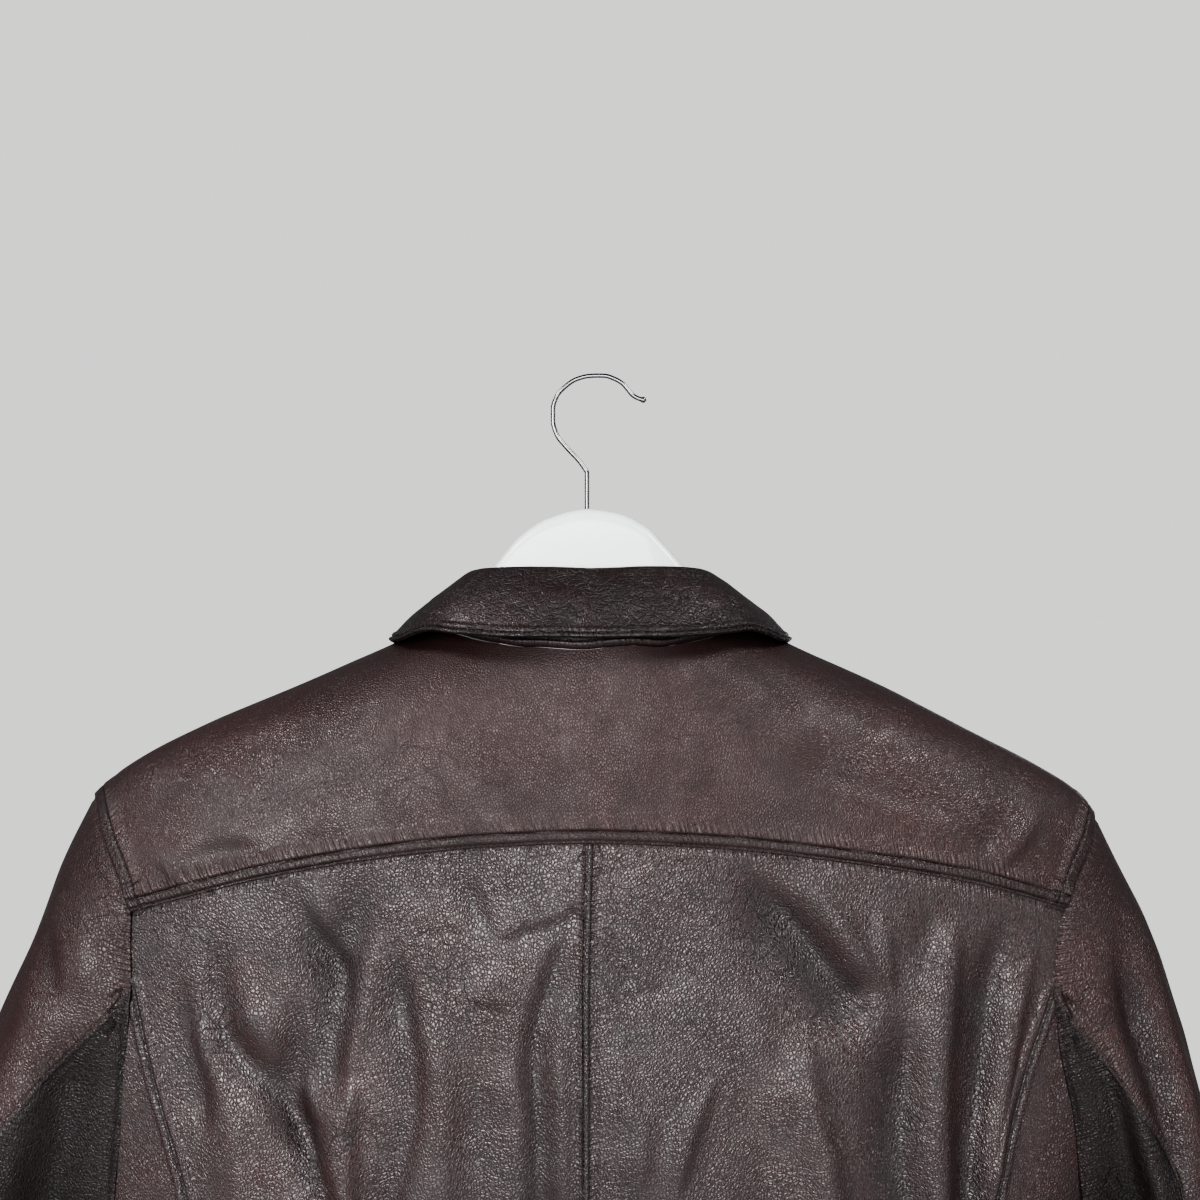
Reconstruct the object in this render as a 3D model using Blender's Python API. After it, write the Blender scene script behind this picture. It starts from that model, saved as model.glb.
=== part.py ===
"""Builds a worn leather jacket that hangs on a flat wooden hanger, as separate closed solids.

Metres, +Z up. The back of the jacket faces -Y, its front +Y, and the wearer's left lies towards -X. The
origin is the top of the inside of the hook, where the hook hangs from its support.

Every leather piece is a wall between seams. The torso is one smooth surface with two coordinates: beta, the
angle round the jacket from the centre line (0) to the side (a quarter turn), and v, the length down from
the shoulder ridge, positive on the back and negative on the front. Panels are four-sided patches between
seam lines on that surface, and neighbours share the points of their seam.
"""

import math

import bmesh
import bpy
import numpy as np

# Leather wall, and the gap between two pieces where they are sewn
WALL = 0.0018
SEAM_GAP = 0.0003

# Torso: plan widths and depths against the depth below the shoulder ridge
CENTRE_X = -0.003
SQUARENESS = 3.0
SHOULDER_ROLL = 0.070
GIRTH_PER_RADIAN = 0.27
HALF_WIDTH = [(0.0, 0.275), (0.10, 0.272), (0.25, 0.262), (0.40, 0.252), (0.59, 0.258), (0.72, 0.258)]
BACK_DEPTH = [(0.0, 0.068), (0.15, 0.074), (0.27, 0.078), (0.45, 0.070), (0.60, 0.063), (0.72, 0.060)]
FRONT_DEPTH = [(0.0, 0.045), (0.15, 0.049), (0.30, 0.051), (0.50, 0.048), (0.72, 0.047)]
RIDGE = [
    (-0.266, -0.2215), (-0.2496, -0.2062), (-0.2093, -0.1845), (-0.1605, -0.1638), (-0.1102, -0.1418),
    (-0.060, -0.1197), (0.0, -0.0918), (0.050, -0.1150), (0.1034, -0.1416), (0.1447, -0.1601),
    (0.1929, -0.1845), (0.2385, -0.2083), (0.2534, -0.2184), (0.2634, -0.2320),
]
HEM_Z = -0.800
UNDERARM_Z = -0.470

# Seam lines on the back, as x and z of each point
YOKE_EDGE = [
    (-0.2325, -0.2736), (-0.2138, -0.2679), (-0.1630, -0.2544), (-0.1053, -0.2441), (-0.0534, -0.2385),
    (-0.0018, -0.2365), (0.0508, -0.2385), (0.1180, -0.2458), (0.1760, -0.2554), (0.2062, -0.2631),
    (0.2346, -0.2722),
]
CENTRE_SEAM = [(-0.0018, -0.2365), (-0.0035, -0.320), (-0.0035, -0.420), (-0.003, -0.600), (-0.003, HEM_Z)]
LEFT, RIGHT = -1, 1
SHOULDER_END = {LEFT: -0.266, RIGHT: 0.2634}
ARMHOLE_YOKE = {
    LEFT: [(-0.2507, -0.2385), (-0.2418, -0.2533), (-0.2325, -0.2736)],
    RIGHT: [(0.2545, -0.2405), (0.2430, -0.2570), (0.2346, -0.2722)],
}
ARMHOLE_BACK = {
    LEFT: [(-0.2325, -0.2736), (-0.2330, -0.2900), (-0.2323, -0.3120)],
    RIGHT: [(0.2346, -0.2722), (0.2302, -0.2865), (0.2274, -0.3140)],
}
ARMHOLE_SIDE = {
    LEFT: [(-0.2323, -0.3120), (-0.2360, -0.3533), (-0.2394, -0.3950), (-0.2465, -0.4400)],
    RIGHT: [(0.2274, -0.3140), (0.2327, -0.3483), (0.2387, -0.3742), (0.2475, -0.4300)],
}
ARMHOLE_FRONT = {
    LEFT: [(-0.2275, -0.3000), (-0.2265, -0.3450)],
    RIGHT: [(0.2225, -0.3000), (0.2215, -0.3450)],
}
ARMHOLE_SIDE_FRONT = {
    LEFT: [(-0.2265, -0.3450), (-0.2300, -0.3850), (-0.2380, -0.4200), (-0.2480, -0.4450)],
    RIGHT: [(0.2215, -0.3450), (0.2250, -0.3850), (0.2330, -0.4200), (0.2430, -0.4450)],
}
SIDE_SEAM = {
    LEFT: [(-0.2323, -0.3120), (-0.2215, -0.3540), (-0.2018, -0.4165), (-0.1870, -0.5200), (-0.1790, -0.6500),
           (-0.1760, HEM_Z)],
    RIGHT: [(0.2274, -0.3140), (0.2125, -0.3560), (0.1970, -0.4165), (0.1830, -0.5200), (0.1750, -0.6500),
            (0.1720, HEM_Z)],
}
SIDE_FRONT_LINE = {
    LEFT: [(-0.2265, -0.3450), (-0.2080, -0.4150), (-0.1920, -0.5200), (-0.1850, -0.6500), (-0.1820, HEM_Z)],
    RIGHT: [(0.2215, -0.3450), (0.2030, -0.4150), (0.1870, -0.5200), (0.1800, -0.6500), (0.1770, HEM_Z)],
}

# Neckline: half widths from the collar's centre, with z on the back and v on the front
NECK_X = -0.0035
NECK_SPLIT = 0.060
NECK_SPLIT_Z = -0.1370
NECK_HALF_WIDTH = 0.0865
NECK_MIDDLE = [(0.0, -0.1419), (0.030, -0.1409), (0.050, -0.1388)]
NECK_SIDE = [(0.072, -0.1342), (0.080, -0.1328)]
YOKE_FRONT_V = -0.058
NECK_YOKE_FRONT = 0.0815
NECK_FRONT = [(0.066, -0.092), (0.040, -0.128)]
NECK_FRONT_V = -0.148
BAND_HALF_WIDTH = 0.016
YOKE_FRONT_ARMHOLE = {LEFT: -0.2440, RIGHT: 0.2400}

# Collar, from its centre: angle round the neck in degrees from the centre back, then x, y and z
FOLD = [
    (0, 0.0, -0.045, -0.1016), (25, 0.030, -0.0435, -0.1006), (50, 0.0535, -0.033, -0.1003),
    (70, 0.0655, -0.017, -0.1035), (90, 0.0700, 0.0, -0.1095), (120, 0.0620, 0.024, -0.1290),
    (150, 0.0380, 0.041, -0.1520), (180, 0.0040, 0.049, -0.1680),
]
FALL_EDGE = [
    (0, 0.0, -0.0760, -0.1355), (20, 0.036, -0.0735, -0.1352), (40, 0.068, -0.0620, -0.1335),
    (50, 0.0805, -0.0520, -0.1318), (70, 0.0995, -0.0280, -0.1350), (90, 0.1065, 0.0, -0.1375),
    (110, 0.1035, 0.0280, -0.1445), (130, 0.0900, 0.0490, -0.1620), (150, 0.0690, 0.0570, -0.1900),
    (165, 0.0530, 0.0570, -0.2030), (180, 0.0380, 0.0560, -0.2120),
]
FOLD_RADIUS = 0.0035
FOLD_ROWS = [(-1.0, -1.0), (-0.75, -0.3), (0.0, 0.0), (0.9, -0.35)]
FALL_ROWS = 5
FALL_BULGE = 0.0025
FALL_OUT, FALL_UP = 0.6, 0.8
STAND_ROWS = 4
STAND_TOP_GAP = 3.5 * SEAM_GAP
NECK_HALF_DEPTH = 0.062

# Sleeves: outer and inner lines as x and z, half depths and middles in Y against the fraction of length
SLEEVE_OUTER = {
    LEFT: [(-0.2660, -0.2215), (-0.2851, -0.2603), (-0.3010, -0.3069), (-0.3164, -0.3488), (-0.3450, -0.4300),
           (-0.3640, -0.5000), (-0.3770, -0.5800), (-0.3820, -0.7000), (-0.3820, -0.8150)],
    RIGHT: [(0.2634, -0.2320), (0.2836, -0.2756), (0.2942, -0.3069), (0.3117, -0.3657), (0.3300, -0.4400),
            (0.3460, -0.5100), (0.3590, -0.5900), (0.3660, -0.7000), (0.3680, -0.8250)],
}
SLEEVE_INNER_STEP = [(0.0, 0.0), (-0.009, -0.005), (-0.012, -0.050), (-0.019, -0.130), (-0.025, -0.230),
                     (-0.029, -0.350)]
SLEEVE_HALF_DEPTH = [(0.0, 0.050), (0.25, 0.060), (0.5, 0.056), (0.75, 0.048), (1.0, 0.041)]
SLEEVE_MIDDLE_Y = [(0.0, -0.009), (0.4, -0.004), (1.0, 0.010)]
SLEEVE_RINGS = 17
SLEEVE_HEAD = 0.22
INNER_EVEN_SHARE = 0.15
INNER_LAG = 2.3
RIM_TURN, RIM_BLEND = -0.5, 0.4
SLEEVE_FOLD_START = 0.12
SLEEVE_FOLD_EDGE = 0.02
SLEEVE_TWIST = {LEFT: 0.0, RIGHT: math.radians(13)}

# Largest folds: where the line runs as x and z, half width, and height (a trough is negative)
BACK_FOLDS = [
    ([(-0.1264, -0.275), (-0.1347, -0.317), (-0.1395, -0.410), (-0.1330, -0.560)], 0.010, -0.0050),
    ([(-0.1906, -0.285), (-0.1833, -0.333), (-0.1546, -0.364), (-0.1395, -0.410)], 0.009, -0.0040),
    ([(-0.0957, -0.285), (-0.0950, -0.420), (-0.1010, -0.600)], 0.009, -0.0040),
    ([(-0.0286, -0.285), (-0.0300, -0.420), (-0.0340, -0.640)], 0.009, -0.0035),
    ([(-0.0640, -0.330), (-0.0640, -0.480), (-0.0680, -0.720)], 0.013, 0.0035),
    ([(-0.1150, -0.330), (-0.1170, -0.480), (-0.1150, -0.700)], 0.009, 0.0035),
    ([(-0.1650, -0.400), (-0.1620, -0.520), (-0.1560, -0.740)], 0.012, 0.0040),
    ([(0.0892, -0.262), (0.1180, -0.300), (0.1379, -0.327), (0.1505, -0.410), (0.1460, -0.600)],
     0.010, -0.0050),
    ([(0.1106, -0.340), (0.1110, -0.450), (0.1060, -0.680)], 0.010, 0.0040),
    ([(0.1748, -0.278), (0.1735, -0.410), (0.1680, -0.620)], 0.007, 0.0035),
    ([(0.1919, -0.292), (0.1900, -0.390), (0.1860, -0.450)], 0.007, -0.0035),
    ([(0.0330, -0.290), (0.0300, -0.430), (0.0330, -0.680)], 0.012, 0.0030),
    ([(0.0650, -0.300), (0.0680, -0.450), (0.0650, -0.640)], 0.010, -0.0030),
    ([(-0.2050, -0.230), (-0.1300, -0.200), (-0.0950, -0.190)], 0.010, -0.0025),
    ([(0.2000, -0.232), (0.1300, -0.204), (0.0900, -0.192)], 0.010, -0.0025),
]
FRONT_FOLDS = [
    ([(-0.1500, -0.270), (-0.1400, -0.420), (-0.1450, -0.700)], 0.011, -0.0045),
    ([(-0.0900, -0.300), (-0.0850, -0.470), (-0.0900, -0.720)], 0.012, 0.0035),
    ([(-0.2050, -0.330), (-0.1900, -0.430), (-0.1850, -0.600)], 0.010, -0.0035),
    ([(0.1450, -0.270), (0.1380, -0.430), (0.1420, -0.700)], 0.011, -0.0045),
    ([(0.0850, -0.300), (0.0830, -0.470), (0.0880, -0.720)], 0.012, 0.0035),
    ([(0.2000, -0.330), (0.1860, -0.430), (0.1800, -0.600)], 0.010, -0.0035),
]
SLEEVE_FOLDS = {
    LEFT: [
        ([(-0.2850, -0.280), (-0.2700, -0.325)], 0.007, -0.0025),
        ([(-0.3300, -0.430), (-0.3000, -0.470)], 0.009, -0.0040),
        ([(-0.3650, -0.560), (-0.3000, -0.600)], 0.009, -0.0045),
        ([(-0.3000, -0.530), (-0.3600, -0.620)], 0.010, 0.0035),
        ([(-0.3600, -0.660), (-0.3050, -0.690)], 0.009, -0.0035),
    ],
    RIGHT: [
        ([(0.2640, -0.320), (0.2760, -0.390), (0.2880, -0.470)], 0.009, -0.0045),
        ([(0.2860, -0.330), (0.2980, -0.400), (0.3080, -0.480)], 0.008, 0.0030),
        ([(0.3450, -0.560), (0.2880, -0.600)], 0.009, -0.0045),
        ([(0.2880, -0.540), (0.3450, -0.630)], 0.010, 0.0035),
        ([(0.3420, -0.670), (0.2920, -0.700)], 0.009, -0.0035),
    ],
}

# Mesh steps along each stretch
WING_COLUMNS = 12
NECK_COLUMNS = 6
YOKE_FRONT_ROWS = 2
YOKE_NECK_ROWS = 3
YOKE_LOWER_ROWS = 5
BACK_COLUMNS = WING_COLUMNS + NECK_COLUMNS // 2
ARMHOLE_BACK_ROWS = 2
BODY_ROWS = 15
SIDE_COLUMNS = 6
FRONT_WING_COLUMNS = 5
FRONT_NECK_COLUMNS = 3
ARMHOLE_FRONT_ROWS = 3

# Buttons on the front band, whose wall lies on the fronts
BUTTON_RADIUS = 0.0085
BUTTON_HEIGHT = 0.0038
BUTTON_RIM = 0.0016
BUTTON_SIDES = 20
BUTTON_LIFT = WALL + 3 * SEAM_GAP
BUTTON_Z = (-0.230, -0.350, -0.470, -0.590, -0.710)

# Hanger: top edge as x and z where it shows, then the arms under the shoulders
HANGER_HALF_THICK = 0.007
HANGER_TOP = [
    (-0.0900, -0.1366), (-0.0690, -0.1180), (-0.0535, -0.0985), (-0.0408, -0.0838), (-0.0260, -0.0743),
    (-0.0053, -0.0694), (0.0111, -0.0716), (0.0265, -0.0790), (0.0366, -0.0891), (0.0450, -0.0986),
    (0.0620, -0.1180), (0.0850, -0.1372),
]
HANGER_TIP = {LEFT: -0.2150, RIGHT: 0.2130}
HANGER_NECK_X = 0.105
HANGER_HEIGHT = [(0.0, 0.058), (0.045, 0.046), (0.10, 0.036), (0.19, 0.025), (0.211, 0.018), (0.2155, 0.008)]
ARM_CLEARANCE = 0.0005
HANGER_SECTIONS = 36
EDGE_STEPS = 5
WIRE_RADIUS = 0.0012
STEM_X = -0.0053
STEM_DEPTH = 0.012
STEM_FOOT_GAP = 0.001
BEND_STEPS = 44
HOOK_PATH = [
    (STEM_X, -0.0499), (-0.0090, -0.0446), (-0.0164, -0.0366), (-0.0212, -0.0303), (-0.0233, -0.0228),
    (-0.0233, -0.0165), (-0.0212, -0.0096), (-0.0164, -0.0043), (-0.0111, -0.0008), (-0.0042, 0.0010),
    (0.0, WIRE_RADIUS), (0.0042, 0.0011), (0.0090, -0.0004), (0.0133, -0.0028), (0.0164, -0.0062),
    (0.0191, -0.0093), (0.0228, -0.0112), (0.0262, -0.0120),
]
BALL_SCALE = (1.25, 1.45, 0.95)

# Colours, roughness and metallic value of each material
FINISHES = {
    "leather": ((0.052, 0.040, 0.036), 0.42, 0.0),
    "white_satin": ((0.80, 0.79, 0.76), 0.35, 0.0),
    "chrome": ((0.72, 0.73, 0.75), 0.12, 1.0),
    "dark_button": ((0.018, 0.015, 0.014), 0.25, 0.0),
}


def through(points):
    """Returns a smooth function through (position, value) points that never overshoots them."""
    places, values = np.array(list(points), dtype=float).T
    steps = np.diff(places)
    slopes = np.diff(values) / steps
    bends = np.zeros(len(places))
    bends[0], bends[-1] = slopes[0], slopes[-1]
    same_way = slopes[:-1] * slopes[1:] > 0
    total = np.where(same_way, slopes[:-1] + slopes[1:], 1.0)
    bends[1:-1] = np.where(same_way, 2 * slopes[:-1] * slopes[1:] / total, 0.0)

    def at(place):
        place = np.clip(place, places[0], places[-1])
        i = np.clip(np.searchsorted(places, place, side="right") - 1, 0, len(steps) - 1)
        t = (place - places[i]) / steps[i]
        low = (1 + 2 * t) * (1 - t) ** 2 * values[i] + t * (1 - t) ** 2 * steps[i] * bends[i]
        high = t * t * (3 - 2 * t) * values[i + 1] - t * t * (1 - t) * steps[i] * bends[i + 1]
        return low + high

    return at


def along(points, fractions, scale=1.0):
    """Gives the points at fractions of the length of a smooth line through the given points."""
    points = np.array(points, dtype=float)
    lengths = np.concatenate([[0.0], np.cumsum(np.linalg.norm(np.diff(points, axis=0) * scale, axis=1))])
    return np.stack([through(zip(lengths, column))(fractions * lengths[-1]) for column in points.T], axis=1)


def trace(points, count, scale=1.0):
    """Spreads count points evenly along a smooth line through the given points."""
    return along(points, np.linspace(0.0, 1.0, count), scale)


def trace_seam(points, count):
    """Spreads count points of beta and v evenly along a seam."""
    return trace(points, count, scale=(GIRTH_PER_RADIAN, 1.0))


ridge_z = through(RIDGE)
half_width = through(HALF_WIDTH)
back_depth = through(BACK_DEPTH)
front_depth = through(FRONT_DEPTH)


def torso(beta, v):
    """Gives the points of the torso's outer surface, without folds."""
    roll = np.minimum(np.abs(v) / SHOULDER_ROLL, math.pi / 2)
    below = SHOULDER_ROLL * (1 - np.cos(roll)) + np.maximum(np.abs(v) - SHOULDER_ROLL * math.pi / 2, 0.0)
    reach = (np.abs(np.sin(beta)) ** SQUARENESS + np.abs(np.cos(beta)) ** SQUARENESS) ** (-1 / SQUARENESS)
    depth = np.where(v >= 0, back_depth(below), front_depth(below))
    x = CENTRE_X + half_width(below) * reach * np.sin(beta)
    y = -np.sign(v) * depth * reach * np.cos(beta) * np.sin(roll)
    return np.stack([x, y, ridge_z(x) - below], axis=-1)


def torso_normal(beta, v):
    """Gives the outward direction of the torso's surface."""
    step = 1e-4
    along = torso(beta + step, v) - torso(beta - step, v)
    down = torso(beta, v + step) - torso(beta, v - step)
    normal = np.cross(down, along)
    return normal / np.linalg.norm(normal, axis=-1, keepdims=True)


def length_down(below):
    """Turns a depth below the ridge into the length v down the rolled shoulder."""
    roll = np.arccos(np.clip(1 - below / SHOULDER_ROLL, 0.0, 1.0))
    return SHOULDER_ROLL * roll + np.maximum(below - SHOULDER_ROLL, 0.0)


def on_torso(x, z, facing=1):
    """Gives beta and v of the surface point at x and z, on the back (facing 1) or the front (-1)."""
    below = np.maximum(ridge_z(x) - z, 0.0)
    out = np.clip((x - CENTRE_X) / half_width(below), -1.0, 1.0)
    rest = (1 - np.abs(out) ** SQUARENESS) ** (1 / SQUARENESS)
    return np.array([math.atan2(out, rest), facing * length_down(below)])


def at_side(side, z, facing=1):
    """Gives beta and v of the point at height z on the side line, where front meets back."""
    below = 0.25
    for _ in range(8):
        below = ridge_z(CENTRE_X + side * half_width(below)) - z
    return np.array([side * math.pi / 2, facing * length_down(below)])


def distance_to_line(x, z, points):
    """Gives the distance of each x and z from an open line of points."""
    nearest = np.full(np.shape(x), np.inf)
    for (x0, z0), (x1, z1) in zip(points, points[1:]):
        dx, dz = x1 - x0, z1 - z0
        t = np.clip(((x - x0) * dx + (z - z0) * dz) / (dx * dx + dz * dz), 0.0, 1.0)
        nearest = np.minimum(nearest, np.hypot(x - x0 - t * dx, z - z0 - t * dz))
    return nearest


def fold_height(surface, folds):
    """Adds up how far the folds lift or sink each surface point."""
    height = np.zeros(surface.shape[:-1])
    for points, width, rise in folds:
        line = trace(points, 4 * len(points))
        height += rise * np.exp(-(distance_to_line(surface[..., 0], surface[..., 2], line) / width) ** 2)
    return height


def patch(top, bottom, left, right):
    """Fills the four sided space between lines of beta and v with a grid of beta and v."""
    s = np.linspace(0.0, 1.0, len(top))[None, :, None]
    t = np.linspace(0.0, 1.0, len(left))[:, None, None]
    across = (1 - t) * top[None] + t * bottom[None]
    down = (1 - s) * left[:, None] + s * right[:, None]
    corners = (1 - t) * ((1 - s) * top[0] + s * top[-1]) + t * ((1 - s) * bottom[0] + s * bottom[-1])
    return across + down - corners


def pull_in(points, normals, edges, amount):
    """Moves the named edges of a grid inwards, so that neighbours stand apart at their seam."""
    moved = points.copy()
    views = {
        "top": (points, normals, moved), "bottom": tuple(a[::-1] for a in (points, normals, moved)),
        "left": tuple(a.swapaxes(0, 1) for a in (points, normals, moved)),
        "right": tuple(a.swapaxes(0, 1)[::-1] for a in (points, normals, moved)),
    }
    for edge in edges:
        grid, out, result = views[edge]
        inward = np.cross(out[0], np.gradient(grid[0], axis=0))
        inward /= np.linalg.norm(inward, axis=1, keepdims=True)
        facing = np.sign(np.sum(inward * (grid[1] - grid[0]), axis=1, keepdims=True))
        result[0] += inward * facing * amount
    return moved


def panel(grid, edges=("top", "bottom", "left", "right"), lift=0.0):
    """Turns a grid of beta and v into the outer and inner points of a wall, with its folds."""
    beta, v = grid[..., 0], grid[..., 1]
    surface = torso(beta, v)
    normals = torso_normal(beta, v)
    folds = np.where(v >= 0, fold_height(surface, BACK_FOLDS), fold_height(surface, FRONT_FOLDS))
    fade = np.clip(np.abs(v) / SHOULDER_ROLL, 0.0, 1.0)
    outer = surface + normals * (folds * fade + lift)[..., None]
    outer = pull_in(outer, normals, edges, SEAM_GAP / 2)
    return outer, outer - normals * WALL


def partly_apart(grid, edges, side_edge, rows):
    """Makes a wall that stands apart at a side edge only along some rows, and joins on along the rest."""
    sheet = panel(grid, edges)
    column = 0 if side_edge == "left" else -1
    for points, pulled in zip(sheet, panel(grid, (*edges, side_edge))):
        points[rows, column] = pulled[rows, column]
    return sheet


def add_wall(name, sheets, material):
    """Makes one closed solid from sheets, each a pair of grids of outer and inner points.

    Points that two sheets share are one point, so sheets with a common line are one piece.
    """
    mesh = bmesh.new()
    outside, inside = {}, {}

    def vertex(store, point, key):
        if key not in store:
            store[key] = mesh.verts.new(point)
        return store[key]

    border = set()
    for outer, inner in sheets:
        rows, columns = outer.shape[:2]
        keys = [[tuple(np.round(outer[i, j], 7)) for j in range(columns)] for i in range(rows)]
        for i in range(rows - 1):
            for j in range(columns - 1):
                ring = [(i, j), (i, j + 1), (i + 1, j + 1), (i + 1, j)]
                first = np.linalg.norm(outer[ring[0]] - outer[ring[2]])
                second = np.linalg.norm(outer[ring[1]] - outer[ring[3]])
                turn = 0 if first <= second else 1
                a, b, c, d = (ring[(k + turn) % 4] for k in range(4))
                for corners in ((a, b, c), (a, c, d)):
                    names = [keys[p][q] for p, q in corners]
                    if len(set(names)) < 3:
                        continue
                    mesh.faces.new([vertex(outside, outer[p], k) for p, k in zip(corners, names)])
                    mesh.faces.new([vertex(inside, inner[p], k) for p, k in zip(corners, names)][::-1])
                    border ^= {tuple(sorted(side)) for side in zip(names, names[1:] + names[:1])}
    for start, end in sorted(border):
        mesh.faces.new([outside[end], outside[start], inside[start]])
        mesh.faces.new([outside[end], inside[start], inside[end]])
    return finish(name, mesh, material)


def finish(name, mesh, material, sharp_degrees=50):
    """Turns a bmesh into an object with outward faces and smooth shading."""
    bmesh.ops.recalc_face_normals(mesh, faces=mesh.faces)
    data = bpy.data.meshes.new(name)
    mesh.to_mesh(data)
    mesh.free()
    data.materials.append(bpy.data.materials[material])
    data.shade_smooth()
    data.set_sharp_from_angle(angle=math.radians(sharp_degrees))
    made = bpy.data.objects.new(name, data)
    bpy.context.collection.objects.link(made)
    return made


def add_materials():
    """Makes one Principled material for each finish."""
    for name, (colour, roughness, metallic) in FINISHES.items():
        material = bpy.data.materials.new(name)
        material.use_nodes = True
        shader = material.node_tree.nodes["Principled BSDF"]
        shader.inputs["Base Color"].default_value = (*colour, 1.0)
        shader.inputs["Roughness"].default_value = roughness
        shader.inputs["Metallic"].default_value = metallic
        material.diffuse_color = (*colour, 1.0)


def back_line(points, count):
    """Spreads beta and v along a line that is given by x and z on the back."""
    return trace_seam([on_torso(x, z) for x, z in points], count)


def at_x(x, v):
    """Gives beta and v of the surface point at x and v."""
    roll = min(abs(v) / SHOULDER_ROLL, math.pi / 2)
    below = SHOULDER_ROLL * (1 - math.cos(roll)) + max(abs(v) - SHOULDER_ROLL * math.pi / 2, 0.0)
    return np.array([on_torso(x, ridge_z(x) - below)[0], v])


class Seams:
    """The seam lines of one side of the jacket, as grids of beta and v that neighbours share."""

    def __init__(self, side):
        self.side = side
        ridge_end = at_x(SHOULDER_END[side], 0.0)
        yoke_front_end = at_x(YOKE_FRONT_ARMHOLE[side], YOKE_FRONT_V)
        underarm = at_side(side, UNDERARM_Z)
        self.armhole_front_yoke = trace_seam([yoke_front_end, ridge_end], YOKE_FRONT_ROWS + 1)
        self.armhole_back_yoke = trace_seam(
            [ridge_end, *(on_torso(x, z) for x, z in ARMHOLE_YOKE[side])],
            YOKE_NECK_ROWS + YOKE_LOWER_ROWS + 1,
        )
        self.armhole_back = back_line(ARMHOLE_BACK[side], ARMHOLE_BACK_ROWS + 1)
        side_points = [on_torso(x, z) for x, z in ARMHOLE_SIDE[side]]
        self.armhole_side = trace_seam([*side_points, underarm], SIDE_COLUMNS + 1)
        front_points = [on_torso(x, z, -1) for x, z in ARMHOLE_FRONT[side]]
        self.armhole_front = trace_seam([yoke_front_end, *front_points], ARMHOLE_FRONT_ROWS + 1)
        lower_points = [on_torso(x, z, -1) for x, z in ARMHOLE_SIDE_FRONT[side]]
        self.armhole_side_front = trace_seam([*lower_points, underarm * (1, -1)], SIDE_COLUMNS + 1)
        front_line = [on_torso(x, z, -1) for x, z in SIDE_FRONT_LINE[side]]
        self.side_front_line = trace_seam(front_line, BODY_ROWS + 1)
        self.side_back = trace_seam([underarm, at_side(side, HEM_Z)], BODY_ROWS + 1)
        self.side_front = self.side_back * (1, -1)
        self.side_seam = back_line(SIDE_SEAM[side], BODY_ROWS + 1)
        self.split = on_torso(NECK_X + side * NECK_SPLIT, NECK_SPLIT_Z)
        neck_ridge = at_x(NECK_X + side * NECK_HALF_WIDTH, 0.0)
        neck_points = [on_torso(NECK_X + side * out, z) for out, z in NECK_SIDE]
        self.neck_back = trace_seam([self.split, *neck_points, neck_ridge], YOKE_NECK_ROWS + 1)
        yoke_front_neck = at_x(NECK_X + side * NECK_YOKE_FRONT, YOKE_FRONT_V)
        self.neck_front_yoke = trace_seam([neck_ridge, yoke_front_neck], YOKE_FRONT_ROWS + 1)
        band_top = at_x(CENTRE_X + side * BAND_HALF_WIDTH, NECK_FRONT_V)
        neck_front_points = [at_x(NECK_X + side * out, v) for out, v in NECK_FRONT]
        self.neck_front = trace_seam([yoke_front_neck, *neck_front_points, band_top], FRONT_NECK_COLUMNS + 1)

    def armhole(self):
        """The whole armhole from the shoulder end down the back, round the underarm and up the front."""
        stretches = [
            self.armhole_back_yoke, self.armhole_back, self.armhole_side, self.armhole_side_front[::-1],
            self.armhole_front[::-1], self.armhole_front_yoke,
        ]
        return np.concatenate([stretch[:-1] for stretch in stretches])

    def neckline(self):
        """The neckline from the front band back to the split beside the centre back."""
        return np.concatenate([
            [at_x(CENTRE_X, NECK_FRONT_V)], self.neck_front[::-1][:-1], self.neck_front_yoke[::-1][:-1],
            self.neck_back[::-1],
        ])


def line(start, end, steps):
    """Spreads points of beta and v evenly from start to end."""
    return np.linspace(start, end, steps + 1)


def neck_middle(seams):
    """The neckline across the centre back, from the left split to the right one."""
    inner = [(side * out, z) for side in (LEFT, RIGHT) for out, z in NECK_MIDDLE[1:]]
    points = [(NECK_X + x, z) for x, z in sorted([*inner, NECK_MIDDLE[0]])]
    stops = [seams[LEFT].split, *(on_torso(x, z) for x, z in points), seams[RIGHT].split]
    return trace_seam(stops, NECK_COLUMNS + 1)


def yoke_edge(side):
    """The yoke's lower edge from one armhole to the centre seam, which the back panel shares."""
    centre = CENTRE_SEAM[0][0]
    points = [(x, z) for x, z in YOKE_EDGE if side * (x - centre) >= 0]
    return back_line(points if side == LEFT else points[::-1], BACK_COLUMNS + 1)


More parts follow.
